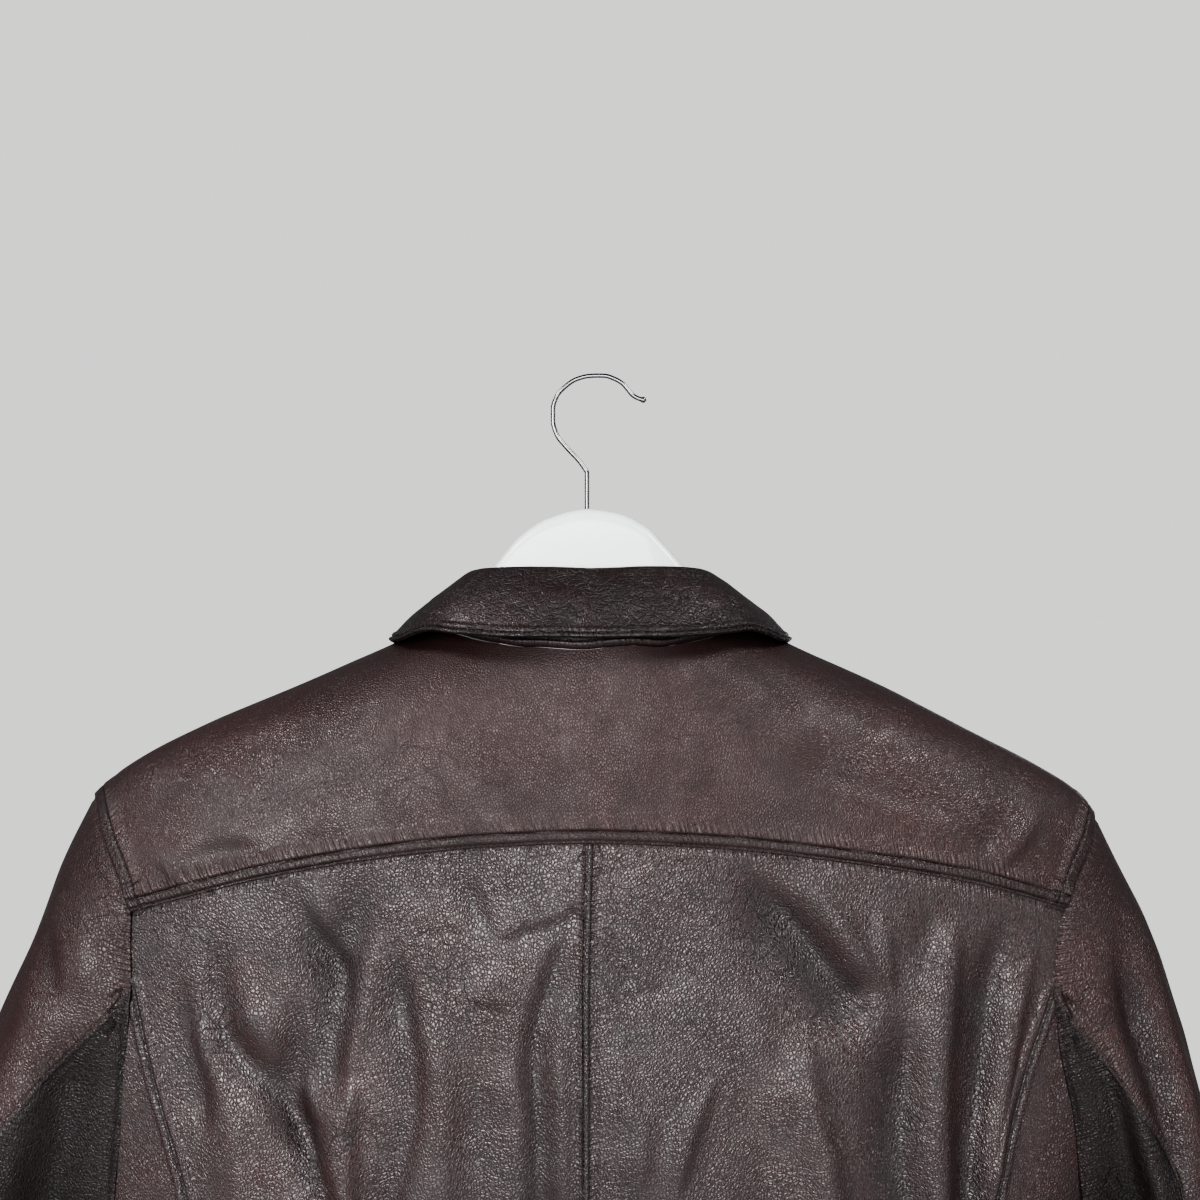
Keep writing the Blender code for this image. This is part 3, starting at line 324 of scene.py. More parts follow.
@dataclass(frozen=True)
class Torso:
    """The torso's outer surface: an oval in plan at each height, closed over the shoulder ridge."""

    centre_x: float = -0.003
    squareness: float = 3.0
    roll: float = 0.070
    hem_z: float = -0.800
    underarm_z: float = -0.470
    half_width: Graph = field(default_factory=lambda: Graph(
        [(0.0, 0.275), (0.10, 0.272), (0.25, 0.262), (0.40, 0.252), (0.59, 0.258), (0.72, 0.258)]))
    back_depth: Graph = field(default_factory=lambda: Graph(
        [(0.0, 0.068), (0.15, 0.074), (0.27, 0.078), (0.45, 0.070), (0.60, 0.063), (0.72, 0.060)]))
    front_depth: Graph = field(default_factory=lambda: Graph(
        [(0.0, 0.045), (0.15, 0.049), (0.30, 0.051), (0.50, 0.048), (0.72, 0.047)]))
    ridge: Graph = field(default_factory=lambda: Graph([
        (-0.266, -0.2215), (-0.2496, -0.2062), (-0.2093, -0.1845), (-0.1605, -0.1638), (-0.1102, -0.1418),
        (-0.060, -0.1197), (0.0, -0.0918), (0.050, -0.1150), (0.1034, -0.1416), (0.1447, -0.1601),
        (0.1929, -0.1845), (0.2385, -0.2083), (0.2534, -0.2184), (0.2634, -0.2320)]))

    def below(self, v: Floats) -> Floats:
        """The depth below the ridge.

        Args:
            v: Lengths down the rolled shoulder.

        Returns:
            The depth at each.
        """
        size = np.abs(v)
        turn = np.minimum(size / self.roll, HALF_TURN)
        return self.roll * (1 - np.cos(turn)) + np.maximum(size - self.roll * HALF_TURN, 0.0)

    def length_down(self, below: Floats) -> Floats:
        """The length down the rolled shoulder at a depth below the ridge."""
        turn = np.arccos(np.clip(1 - below / self.roll, 0.0, 1.0))
        return self.roll * turn + np.maximum(below - self.roll, 0.0)

    def point(self, place: Floats) -> Floats:
        """The surface's points.

        Args:
            place: Beta and v in the last axis.

        Returns:
            The points, in space.
        """
        beta, v = place[..., 0], place[..., 1]
        below = self.below(v)
        power = self.squareness
        reach = (np.abs(np.sin(beta)) ** power + np.abs(np.cos(beta)) ** power) ** (-1 / power)
        depth = np.where(v >= 0, self.back_depth(below), self.front_depth(below))
        x = self.centre_x + self.half_width(below) * reach * np.sin(beta)
        y = -np.sign(v) * depth * reach * np.cos(beta) * np.sin(np.minimum(np.abs(v) / self.roll, HALF_TURN))
        return np.stack([x, y, self.ridge(x) - below], axis=-1)

    def normal(self, place: Floats) -> Floats:
        """The surface's outward directions.

        Args:
            place: Beta and v in the last axis.

        Returns:
            The directions, of length 1.
        """
        step = 1e-4
        along = self.point(place + (step, 0.0)) - self.point(place - (step, 0.0))
        down = self.point(place + (0.0, step)) - self.point(place - (0.0, step))
        normal = np.cross(down, along)
        return normal / np.linalg.norm(normal, axis=-1, keepdims=True)

    def find(self, x: Floats | float, z: Floats | float, facing: int = 1) -> Floats:
        """Beta and v of the surface points at x and z.

        Args:
            x: Where the points are from side to side.
            z: Their heights.
            facing: 1 for the back and -1 for the front.

        Returns:
            Beta and v in the last axis.
        """
        x, z = np.broadcast_arrays(np.asarray(x, dtype=float), np.asarray(z, dtype=float))
        below = np.maximum(self.ridge(x) - z, 0.0)
        out = np.clip((x - self.centre_x) / self.half_width(below), -1.0, 1.0)
        rest = (1 - np.abs(out) ** self.squareness) ** (1 / self.squareness)
        return np.stack([np.arctan2(out, rest), facing * self.length_down(below)], axis=-1)

    def at_x(self, x: Floats | float, v: float) -> Floats:
        """Beta and v of the surface points at one length down.

        Args:
            x: Where the points are from side to side.
            v: The length down from the shoulder ridge.

        Returns:
            Beta and v in the last axis.
        """
        x = np.asarray(x, dtype=float)
        beta = self.find(x, self.ridge(x) - self.below(np.array(v)))[..., 0]
        return np.stack([beta, np.full(x.shape, v)], axis=-1)

    def at_side(self, side: Side, z: float, facing: int = 1) -> Floats:
        """Beta and v of a point on the side line, where the front meets the back.

        Args:
            side: The side.
            z: The point's height.
            facing: 1 for the back and -1 for the front.

        Returns:
            Beta and v.
        """
        below = np.array(0.25)
        for _ in range(8):
            below = self.ridge(self.centre_x + side.value * self.half_width(below)) - z
        return np.array([side.value * HALF_TURN, facing * float(self.length_down(below))])

    def on_hem(self, beta: Floats, facing: int = 1) -> Floats:
        """Beta and v of points on the hem.

        Args:
            beta: Their angles.
            facing: 1 for the back and -1 for the front.

        Returns:
            Beta and v in the last axis.
        """
        beta = np.asarray(beta, dtype=float)
        below = np.full(beta.shape, 0.6)
        for _ in range(8):
            x = self.point(np.stack([beta, self.length_down(below)], axis=-1))[..., 0]
            below = self.ridge(x) - self.hem_z
        return np.stack([beta, facing * self.length_down(below)], axis=-1)


@dataclass(frozen=True)
class SideLines:
    """The seam lines of one side, as x and z of their points."""

    shoulder_end: float
    yoke_front_end: float
    armhole_yoke: Points
    armhole_back: Points
    armhole_side: Points
    armhole_front: Points
    armhole_side_front: Points
    side_seam: Points
    side_front_line: Points
    sleeve_outer: Points
    sleeve_twist: float


LINES = {
    Side.LEFT: SideLines(
        shoulder_end=-0.266,
        yoke_front_end=-0.2440,
        armhole_yoke=[(-0.2507, -0.2385), (-0.2418, -0.2533), (-0.2325, -0.2736)],
        armhole_back=[(-0.2325, -0.2736), (-0.2330, -0.2900), (-0.2323, -0.3120)],
        armhole_side=[(-0.2323, -0.3120), (-0.2360, -0.3533), (-0.2394, -0.3950), (-0.2465, -0.4400)],
        armhole_front=[(-0.2275, -0.3000), (-0.2265, -0.3450)],
        armhole_side_front=[(-0.2265, -0.3450), (-0.2300, -0.3850), (-0.2380, -0.4200), (-0.2480, -0.4450)],
        side_seam=[(-0.2323, -0.3120), (-0.2215, -0.3540), (-0.2018, -0.4165), (-0.1870, -0.5200),
                   (-0.1790, -0.6500), (-0.1760, -0.8000)],
        side_front_line=[(-0.2265, -0.3450), (-0.2080, -0.4150), (-0.1920, -0.5200), (-0.1850, -0.6500),
                         (-0.1820, -0.8000)],
        sleeve_outer=[(-0.2660, -0.2215), (-0.2851, -0.2603), (-0.3010, -0.3069), (-0.3164, -0.3488),
                      (-0.3450, -0.4300), (-0.3640, -0.5000), (-0.3770, -0.5800), (-0.3820, -0.7000),
                      (-0.3820, -0.8150)],
        sleeve_twist=0.0,
    ),
    Side.RIGHT: SideLines(
        shoulder_end=0.2634,
        yoke_front_end=0.2400,
        armhole_yoke=[(0.2545, -0.2405), (0.2430, -0.2570), (0.2346, -0.2722)],
        armhole_back=[(0.2346, -0.2722), (0.2302, -0.2865), (0.2274, -0.3140)],
        armhole_side=[(0.2274, -0.3140), (0.2327, -0.3483), (0.2387, -0.3742), (0.2475, -0.4300)],
        armhole_front=[(0.2225, -0.3000), (0.2215, -0.3450)],
        armhole_side_front=[(0.2215, -0.3450), (0.2250, -0.3850), (0.2330, -0.4200), (0.2430, -0.4450)],
        side_seam=[(0.2274, -0.3140), (0.2125, -0.3560), (0.1970, -0.4165), (0.1830, -0.5200),
                   (0.1750, -0.6500), (0.1720, -0.8000)],
        side_front_line=[(0.2215, -0.3450), (0.2030, -0.4150), (0.1870, -0.5200), (0.1800, -0.6500),
                         (0.1770, -0.8000)],
        sleeve_outer=[(0.2634, -0.2320), (0.2836, -0.2756), (0.2942, -0.3069), (0.3117, -0.3657),
                      (0.3300, -0.4400), (0.3460, -0.5100), (0.3590, -0.5900), (0.3660, -0.7000),
                      (0.3680, -0.8250)],
        sleeve_twist=math.radians(13),
    ),
}
YOKE_EDGE = [
    (-0.2325, -0.2736), (-0.2138, -0.2679), (-0.1630, -0.2544), (-0.1053, -0.2441), (-0.0534, -0.2385),
    (-0.0018, -0.2365), (0.0508, -0.2385), (0.1180, -0.2458), (0.1760, -0.2554), (0.2062, -0.2631),
    (0.2346, -0.2722),
]
CENTRE_SEAM = [(-0.0018, -0.2365), (-0.0035, -0.320), (-0.0035, -0.420), (-0.003, -0.600), (-0.003, -0.800)]
NECK_X = -0.0035
NECK_SPLIT = (0.060, -0.1370)
NECK_HALF_WIDTH = 0.0865
NECK_MIDDLE = [(0.0, -0.1419), (0.030, -0.1409), (0.050, -0.1388)]
NECK_SIDE = [(0.072, -0.1342), (0.080, -0.1328)]
YOKE_FRONT_V = -0.058
NECK_YOKE_FRONT = 0.0815
NECK_FRONT = [(0.066, -0.092), (0.040, -0.128)]
NECK_FRONT_V = -0.148
BAND_HALF_WIDTH = 0.016
YOKE_WING_SHARE = 0.8


class Seams:
    """The seam lines of one side of the jacket, which neighbours share."""

    def __init__(self, side: Side, torso: Torso) -> None:
        """Lays the lines on the torso.

        Args:
            side: The side.
            torso: The surface that carries them.
        """
        self.side, self.torso = side, torso
        cut, sign = LINES[side], side.value
        self.cut = cut
        ridge_end = torso.at_x(cut.shoulder_end, 0.0)
        front_end = torso.at_x(cut.yoke_front_end, YOKE_FRONT_V)
        underarm = torso.at_side(side, torso.underarm_z)
        self.armhole_front_yoke = seam_line([front_end, ridge_end])
        self.armhole_back_yoke = seam_line([ridge_end, *self.on_back(cut.armhole_yoke)])
        self.armhole_back = seam_line(self.on_back(cut.armhole_back))
        self.armhole_side = seam_line([*self.on_back(cut.armhole_side), underarm])
        self.armhole_front = seam_line([front_end, *self.on_front(cut.armhole_front)])
        self.armhole_side_front = seam_line([*self.on_front(cut.armhole_side_front), underarm * (1, -1)])
        self.side_front_line = seam_line(self.on_front(cut.side_front_line))
        self.side_back = seam_line([underarm, torso.at_side(side, torso.hem_z)])
        self.side_front = Formula(lambda f: self.side_back.at(f) * (1, -1))
        self.side_seam = seam_line(self.on_back(cut.side_seam))
        self.split = torso.find(NECK_X + sign * NECK_SPLIT[0], NECK_SPLIT[1])
        neck_ridge = torso.at_x(NECK_X + sign * NECK_HALF_WIDTH, 0.0)
        neck_points = [torso.find(NECK_X + sign * out, z) for out, z in NECK_SIDE]
        self.neck_back = seam_line([self.split, *neck_points, neck_ridge])
        yoke_front_neck = torso.at_x(NECK_X + sign * NECK_YOKE_FRONT, YOKE_FRONT_V)
        self.neck_front_yoke = seam_line([neck_ridge, yoke_front_neck])
        band_top = torso.at_x(torso.centre_x + sign * BAND_HALF_WIDTH, NECK_FRONT_V)
        neck_front = [torso.at_x(NECK_X + sign * out, v) for out, v in NECK_FRONT]
        self.neck_front = seam_line([yoke_front_neck, *neck_front, band_top])
        edge_x = np.linspace(YOKE_EDGE[0 if side is Side.LEFT else -1][0], CENTRE_SEAM[0][0], 30)
        self.yoke_edge = seam_line(torso.find(edge_x, Graph(YOKE_EDGE)(edge_x)))
        self.centre = seam_line(self.on_back(CENTRE_SEAM))
        self.yoke_front = self.across(cut.yoke_front_end, NECK_X + sign * NECK_YOKE_FRONT, YOKE_FRONT_V)
        self.armhole = Chain((
            (self.armhole_back_yoke, 8), (self.armhole_back, 2), (self.armhole_side, 6),
            (reverse(self.armhole_side_front), 6), (reverse(self.armhole_front), 3),
            (self.armhole_front_yoke, 2),
        ))

    def on_back(self, points: Points) -> list[Floats]:
        """Beta and v of points on the back."""
        return [self.torso.find(x, z) for x, z in points]

    def on_front(self, points: Points) -> list[Floats]:
        """Beta and v of points on the front."""
        return [self.torso.find(x, z, -1) for x, z in points]

    def across(self, start: float, end: float, v: float) -> Formula:
        """The line at the length v from one x to another."""
        return Formula(lambda f: self.torso.at_x(start + (end - start) * np.asarray(f), v))

    def hem(self, start: float, end: float, facing: int = 1) -> Formula:
        """The hem from one beta to another."""
        return Formula(lambda f: self.torso.on_hem(start + (end - start) * np.asarray(f), facing))


def neck_middle(seams: dict[Side, Seams]) -> SmoothLine:
    """The neckline across the centre back, from the left split to the right one.

    Args:
        seams: The seam lines of both sides.

    Returns:
        The line.
    """
    torso = seams[Side.LEFT].torso
    inner = [(sign * out, z) for sign in (-1, 1) for out, z in NECK_MIDDLE[1:]]
    points = [torso.find(NECK_X + x, z) for x, z in sorted([*inner, NECK_MIDDLE[0]])]
    return seam_line([seams[Side.LEFT].split, *points, seams[Side.RIGHT].split])


@dataclass(frozen=True)
class Patch:
    """A four sided patch of beta and v between a top, a bottom, a left and a right line."""

    top: Line
    bottom: Line
    left: Line
    right: Line

    def grid(self, across: Floats, down: Floats) -> Floats:
        """Fills the patch.

        Args:
            across: Fractions from left to right.
            down: Fractions from top to bottom.

        Returns:
            Beta and v, with a row for each fraction down.
        """
        s, t = across[None, :, None], down[:, None, None]
        top, bottom = self.top.at(across), self.bottom.at(across)
        left, right = self.left.at(down), self.right.at(down)
        corners = (1 - t) * ((1 - s) * top[0] + s * top[-1]) + t * ((1 - s) * bottom[0] + s * bottom[-1])
        return (1 - t) * top + t * bottom + (1 - s) * left[:, None] + s * right[:, None] - corners


class Relief(ABC):
    """Something that lifts or sinks the leather."""

    @abstractmethod
    def height(self, points: Floats) -> Floats:
        """The lift at each point of the plain surface, in metres."""


class Fold(Relief):
    """A soft ridge or trough along a line of x and z, in millimetres as it was measured.

    Its start fades in slowly and its end fades out fast.
    """

    WIDER = 1.4
    DEEPER = 1.45
    START_FADE, START_SHARE = 1.6, 0.55
    END_FADE, END_SHARE = 0.8, 0.35

    def __init__(self, line: Points, width: float, rise: float, lean: float = 0.6,
                 ends: float = 30.0) -> None:
        """Sets the fold.

        Args:
            line: Its middle, from its first end.
            width: Half its width.
            rise: Its height, below 0 for a trough.
            lean: From -1 to 1, how much steeper one side is: above 0 the one on the line's left.
            ends: The length over which each end fades.
        """
        self.line = SmoothLine(np.array(line) / 1000).at(np.linspace(0.0, 1.0, 6 * len(line)))
        self.width, self.rise = self.WIDER * width / 1000, self.DEEPER * rise / 1000
        self.ends = ends / 1000
        self.lean = lean

    def height(self, points: Floats) -> Floats:
        """The fold's lift.

        Args:
            points: Points of the plain surface, one a row.

        Returns:
            The lift at each, in metres.
        """
        flat = points[:, [0, 2]]
        reach = 3 * self.width
        near = np.all((flat > self.line.min(0) - reach) & (flat < self.line.max(0) + reach), axis=1)
        total = np.zeros(len(points))
        distance, along, side = nearest(flat[near], self.line)
        length = np.sum(np.linalg.norm(np.diff(self.line, axis=0), axis=1))
        fade = smooth(along / min(self.START_FADE * self.ends, self.START_SHARE * length))
        fade *= smooth((length - along) / min(self.END_FADE * self.ends, self.END_SHARE * length))
        width = self.width * (1 - self.lean * side * 0.5) * (0.55 + 0.45 * fade)
        total[near] = self.rise * np.exp(-(distance / width) ** 2) * fade
        return total


@dataclass(frozen=True)
class Ripple(Relief):
    """Random soft unevenness, larger where nothing holds the leather flat."""

    noise: Noise
    rise: float

    def height(self, points: Floats) -> Floats:
        """The ripple's lift at each point."""
        return self.noise(points) * self.rise


@dataclass(frozen=True)
class SeamBand:
    """The edge of a piece at a seam: a lapped band with stitch rows, and puckers that run out from them.

    Distances are in metres from the seam line, which is given as points in space.
    """

    line: Floats
    rise: float = 0.0
    width: float = 0.0075
    rows: tuple[float, ...] = ()
    groove: float = 0.00045
    groove_width: float = 0.0006
    pucker: float = 0.00015
    gather: float = 0.7
    reach: float = 0.006
    pitch: float = 0.0045
    seed: int = 1
    roll: float = 0.0011
    bulge: float = 0.0
    fade: float = 0.002

    def marks(self, points: Floats) -> Floats:
        """Works the seam into the leather.

        Args:
            points: Points of the plain surface, one a row.

        Returns:
            At each point, in columns: the lift, how far inside the band it is, how strongly the leather is
            gathered there, and the slanted length along the seam.
        """
        far = self.width + 4 * self.reach
        near = np.all((points > self.line.min(0) - far) & (points < self.line.max(0) + far), axis=1)
        found = np.zeros((len(points), 4))
        distance, along, _ = nearest(points[near], self.line)
        lift = self.rise * smooth((self.width + self.fade - distance) / self.fade)
        lift *= 0.35 + 0.65 * np.sqrt(np.clip(distance / self.roll, 0.0, 1.0))
        inner, outer = (self.rows[0], self.rows[-1]) if len(self.rows) > 1 else (0.0, self.width)
        lift += self.bulge * np.sin(math.pi * np.clip((distance - inner) / (outer - inner), 0.0, 1.0))
        start = self.rows[-1] if self.rows else 0.0
        beyond = np.exp(-(np.maximum(distance - start, 0.0) / self.reach) ** 2)
        held = np.ones(len(along))
        for row in self.rows:
            lift -= self.groove * np.exp(-((distance - row) / self.groove_width) ** 2)
            held *= 1 - 0.9 * np.exp(-((distance - row) / 0.0009) ** 2)
        zero = np.zeros(len(along))
        slant = along + SLOPE_OF_SLANT * distance
        ticks = Noise(self.seed, (self.pitch,) * 3)(np.stack([slant, zero, zero], axis=-1))
        strength = 0.75 + 0.6 * Noise(self.seed + 7, (0.022,) * 3)(np.stack([along, zero, zero], axis=-1))
        found[near, 0] = lift + self.pucker * ticks * strength * beyond * held
        if self.rows:
            found[near, 1] = smooth((start + 0.0015 - distance) / 0.0015)
        found[near, 2] = self.gather * strength * beyond * held * np.where(distance < start, 0.5, 1.0)
        found[near, 3] = slant
        return found


@dataclass
class Sheet:
    """A grid of points on a plain surface, with its outward directions and the lift of each point."""

    base: Floats
    normals: Floats
    lift: Floats
    fold: Floats
    band: Floats
    gather: Floats
    along: Floats

    @classmethod
    def on(cls, base: Floats, normals: Floats, folds: Sequence[Relief], seams: Sequence[SeamBand]) -> Sheet:
        """Raises folds and seam bands on a surface.

        Args:
            base: The surface's points, in rows and columns.
            normals: The outward direction at each.
            folds: The large folds and ripples.
            seams: The seam bands.

        Returns:
            The sheet.
        """
        flat, shape = base.reshape(-1, 3), base.shape[:2]
        fold = sum((relief.height(flat) for relief in folds), np.zeros(len(flat)))
        lift, band, gather, along = np.zeros((4, len(flat)))
        for seam in seams:
            raised, inside, gathered, length = seam.marks(flat).T
            lift, band = lift + raised, np.maximum(band, inside)
            along = np.where(gathered > gather, length, along)
            gather = np.maximum(gather, gathered)
        columns = (values.reshape(shape) for values in (fold + lift, fold, band, gather, along))
        return cls(base, normals, *columns)

    @property
    def outer(self) -> Floats:
        """The points of the leather's outer face."""
        return self.base + self.normals * self.lift[..., None]

    def inset(self, edge: str, distance: float) -> tuple[Floats, Floats]:
        """The points and directions on the outer face at a distance from one edge.

        Args:
            edge: "top", "bottom", "left" or "right".
            distance: How far in from it, along the grid.

        Returns:
            The points of that line and the outward direction at each.
        """
        outer, normals = self.outer, self.normals
        if edge in ("left", "right"):
            outer, normals = outer.swapaxes(0, 1), normals.swapaxes(0, 1)
        if edge in ("bottom", "right"):
            outer, normals = outer[::-1], normals[::-1]
        gone = np.cumsum(np.linalg.norm(np.diff(outer, axis=0), axis=2), axis=0)
        gone = np.concatenate([np.zeros((1, outer.shape[1])), gone])
        i = np.clip(np.sum(gone < distance, axis=0) - 1, 0, len(outer) - 2)
        column = np.arange(outer.shape[1])
        t = ((distance - gone[i, column]) / (gone[i + 1, column] - gone[i, column]))[:, None]
        return (
            outer[i, column] * (1 - t) + outer[i + 1, column] * t,
            normals[i, column] * (1 - t) + normals[i + 1, column] * t,
        )


SHEET_PARTS = ("base", "normals", "lift", "fold", "band", "gather", "along")
SLOPE_OF_SLANT = 0.3


def grid_faces(ids: NDArray[np.int64]) -> NDArray[np.int64]:
    """The four corners of each cell in a grid of point numbers."""
    return np.stack([ids[:-1, :-1], ids[:-1, 1:], ids[1:, 1:], ids[1:, :-1]], axis=-1).reshape(-1, 4)


def make_mesh(name: str, points: Floats, faces: list, material: bpy.types.Material,
              sharp: float = 50.0) -> bpy.types.Object:
    """Makes a smooth shaded mesh object.

    Args:
        name: Its name.
        points: One vertex a row.
        faces: The vertex numbers of each face.
        material: Its finish.
        sharp: Edges sharper than this many degrees stay crisp.

    Returns:
        The object.
    """
    data = bpy.data.meshes.new(name)
    data.from_pydata(points.tolist(), [], faces)
    data.materials.append(material)
    data.shade_smooth()
    data.set_sharp_from_angle(angle=math.radians(sharp))
    made = bpy.data.objects.new(name, data)
    bpy.context.scene.collection.objects.link(made)
    return made


def make_wall(name: str, sheets: Sequence[Sheet], material: bpy.types.Material,
              tones: dict[str, float]) -> bpy.types.Object:
    """Makes one closed leather wall from sheets that share the points of their common edges.

    Args:
        name: The object's name.
        sheets: The grids.
        material: The leather.
        tones: The wall's own values of the leather's settings, stored on each vertex.

    Returns:
        The object.
    """
    outer = np.concatenate([sheet.outer.reshape(-1, 3) for sheet in sheets])
    normals = np.concatenate([sheet.normals.reshape(-1, 3) for sheet in sheets])
    values = {key: np.concatenate([getattr(sheet, key).ravel() for sheet in sheets])
              for key in ("fold", "band", "gather", "along")}
    faces, start = [], 0
    for sheet in sheets:
        rows, columns = sheet.base.shape[:2]
        quads = grid_faces(np.arange(rows * columns).reshape(rows, columns) + start)
        a, b, c = (outer[quads[:, k]] for k in (0, 1, 2))
        turned = np.sum(np.cross(b - a, c - b) * normals[quads[:, 0]]) < 0
        faces.append(quads[:, ::-1] if turned else quads)
        start += rows * columns
    quads = np.concatenate(faces)
    _, first, place = np.unique(np.round(outer, 6), axis=0, return_index=True, return_inverse=True)
    quads = place.ravel()[quads]
    outer, normals = outer[first], normals[first]
    sides = np.concatenate([quads[:, [k, (k + 1) % 4]] for k in range(4)])
    sides = sides[sides[:, 0] != sides[:, 1]]
    _, again, counts = np.unique(np.sort(sides, axis=1), axis=0, return_index=True, return_counts=True)
    rim = sides[again[counts == 1]]
    count = len(outer)
    inner = outer - normals * WALL
    rim_faces = np.stack([rim[:, 1], rim[:, 0], rim[:, 0] + count, rim[:, 1] + count], axis=1)
    every = np.concatenate([quads, quads[:, ::-1] + count, rim_faces]).tolist()
    every = [list(dict.fromkeys(face)) for face in every]
    made = make_mesh(name, np.concatenate([outer, inner]), every, material)
    for key, value in {**values, **{k: np.full(len(place.ravel()), v) for k, v in tones.items()}}.items():
        layer = made.data.attributes.new(key, "FLOAT", "POINT")
        layer.data.foreach_set("value", np.tile(value[first], 2).astype(np.float32))
    return made


BACK_FOLDS = [
    Fold([(-150, -255), (-146, -268), (-137, -286), (-128, -300), (-124, -320)], 7.0, -3.8),
    Fold([(-99, -249), (-114, -262), (-120, -277), (-124, -300), (-129, -332), (-131, -349),
          (-128, -372)], 9.5, -5.2, 0.3),
    Fold([(-145, -300), (-148, -330), (-149, -356), (-145, -375), (-138, -396), (-128, -430),
          (-124, -520)], 6.5, -3.6),
    Fold([(-112, -290), (-114, -315), (-118, -330), (-121, -347), (-122, -400), (-118, -470)], 5.5, 2.2),
    Fold([(-99, -268), (-98, -303), (-94, -325), (-91, -341), (-90, -360), (-94, -384), (-101, -415),
          (-100, -500)], 7.5, -3.8),
    Fold([(-84, -300), (-79, -337), (-75, -371), (-78, -450)], 9.0, 1.8),
    Fold([(-73, -242), (-62, -262), (-54, -279), (-47, -287)], 5.0, -1.7, 0.4),
    Fold([(-50, -287), (-35, -281), (-16, -275), (-6, -267)], 3.4, -1.2, 0.4, 8),
    Fold([(-95, -282), (-73, -280), (-50, -286)], 3.5, -0.6),
    Fold([(-8, -268), (-15, -283), (-19, -292), (-24, -311), (-28, -326), (-30, -342), (-28, -370),
          (-27, -470)], 5.5, -3.2, -0.3),
    Fold([(-14, -300), (-19, -330), (-18, -366), (-17, -420)], 5.0, 1.4),
    Fold([(-190, -272), (-187, -311), (-184, -330), (-177, -339), (-167, -351), (-156, -365), (-145, -380),
          (-136, -400)], 6.5, -3.4, -0.4),
    Fold([(-175, -290), (-172, -317), (-160, -334), (-149, -352)], 8.0, 2.2),
    Fold([(-210, -290), (-206, -315), (-203, -337), (-196, -357), (-193, -385)], 7.5, -2.6),
    Fold([(-199, -313), (-195, -334), (-186, -356), (-177, -384), (-173, -450), (-170, -560)], 6.5, 2.0),
    Fold([(-62, -330), (-57, -376), (-59, -440)], 14.0, -1.8),
    Fold([(-52, -292), (-53, -318)], 7.0, 1.4, 0.0, 8),
    Fold([(-160, -400), (-158, -520), (-154, -700)], 11.0, 3.0),
    Fold([(-70, -450), (-66, -560), (-70, -740)], 14.0, 3.0),
    Fold([(61, -245), (71, -253), (83, -265), (96, -279), (110, -296), (122, -313), (136, -330)], 10.0, -6.0),
    Fold([(95, -253), (109, -264), (119, -276), (129, -291), (141, -311)], 5.5, 2.8),
    Fold([(139, -262), (142, -288), (144, -315)], 4.0, 1.8),
    Fold([(146, -310), (152, -337), (150, -361), (148, -385), (152, -415), (150, -520)], 8.5, -4.6),
    Fold([(103, -315), (102, -347), (106, -371), (112, -393), (115, -425), (116, -520)], 7.5, 3.4),
    Fold([(64, -338), (52, -362), (43, -386), (37, -414)], 4.5, 1.7),
    Fold([(9, -330), (14, -359), (21, -376), (22, -410)], 7.0, 1.7),
    Fold([(180, -266), (174, -298), (171, -328), (169, -356), (170, -400), (171, -500)], 6.5, 3.6),
    Fold([(204, -270), (196, -305), (192, -337), (188, -366), (185, -390), (182, -460)], 6.5, -4.2),
    Fold([(220, -279), (214, -303), (208, -325), (204, -347), (199, -378), (194, -420)], 4.5, 2.2),
    Fold([(3, -280), (9, -294), (18, -307)], 2.6, -0.8, 0.0, 6),
    Fold([(3, -315), (11, -313), (21, -309), (36, -308)], 2.6, -0.35, 0.0, 6),
    Fold([(160, -262), (163, -281), (160, -302)], 6.0, -1.6),
    Fold([(76, -330), (74, -361), (80, -390), (82, -450), (78, -560)], 8.0, -1.8),
    Fold([(130, -420), (128, -540), (132, -700)], 10.0, 2.6),
    Fold([(40, -450), (36, -560), (40, -720)], 13.0, 2.8),
    Fold([(-222, -262), (-190, -243), (-160, -240)], 7.0, -1.6),
    Fold([(-205, -249), (-212, -258)], 6.0, 1.2, 0.0, 6),
    Fold([(-150, -234), (-138, -238), (-120, -236)], 4.5, -1.0, 0.0, 8),
    Fold([(213, -222), (199, -234), (190, -246)], 5.5, -1.8),
    Fold([(227, -224), (210, -240), (197, -250)], 4.5, 1.4),
    Fold([(-205, -230), (-130, -202), (-95, -192)], 9.0, -1.8),
    Fold([(200, -232), (130, -206), (90, -194)], 9.0, -1.8),
]
FRONT_FOLDS = [
    Fold([(-150, -270), (-140, -420), (-145, -700)], 11, -4.0),
    Fold([(-90, -300), (-85, -470), (-90, -720)], 12, 3.5),
    Fold([(-205, -330), (-190, -430), (-185, -600)], 10, -3.0),
    Fold([(-60, -240), (-75, -300), (-70, -420)], 9, -2.0),
    Fold([(145, -270), (138, -430), (142, -700)], 11, -4.0),
    Fold([(85, -300), (83, -470), (88, -720)], 12, 3.5),
    Fold([(200, -330), (186, -430), (180, -600)], 10, -3.0),
    Fold([(52, -240), (66, -300), (62, -420)], 9, -2.0),
]
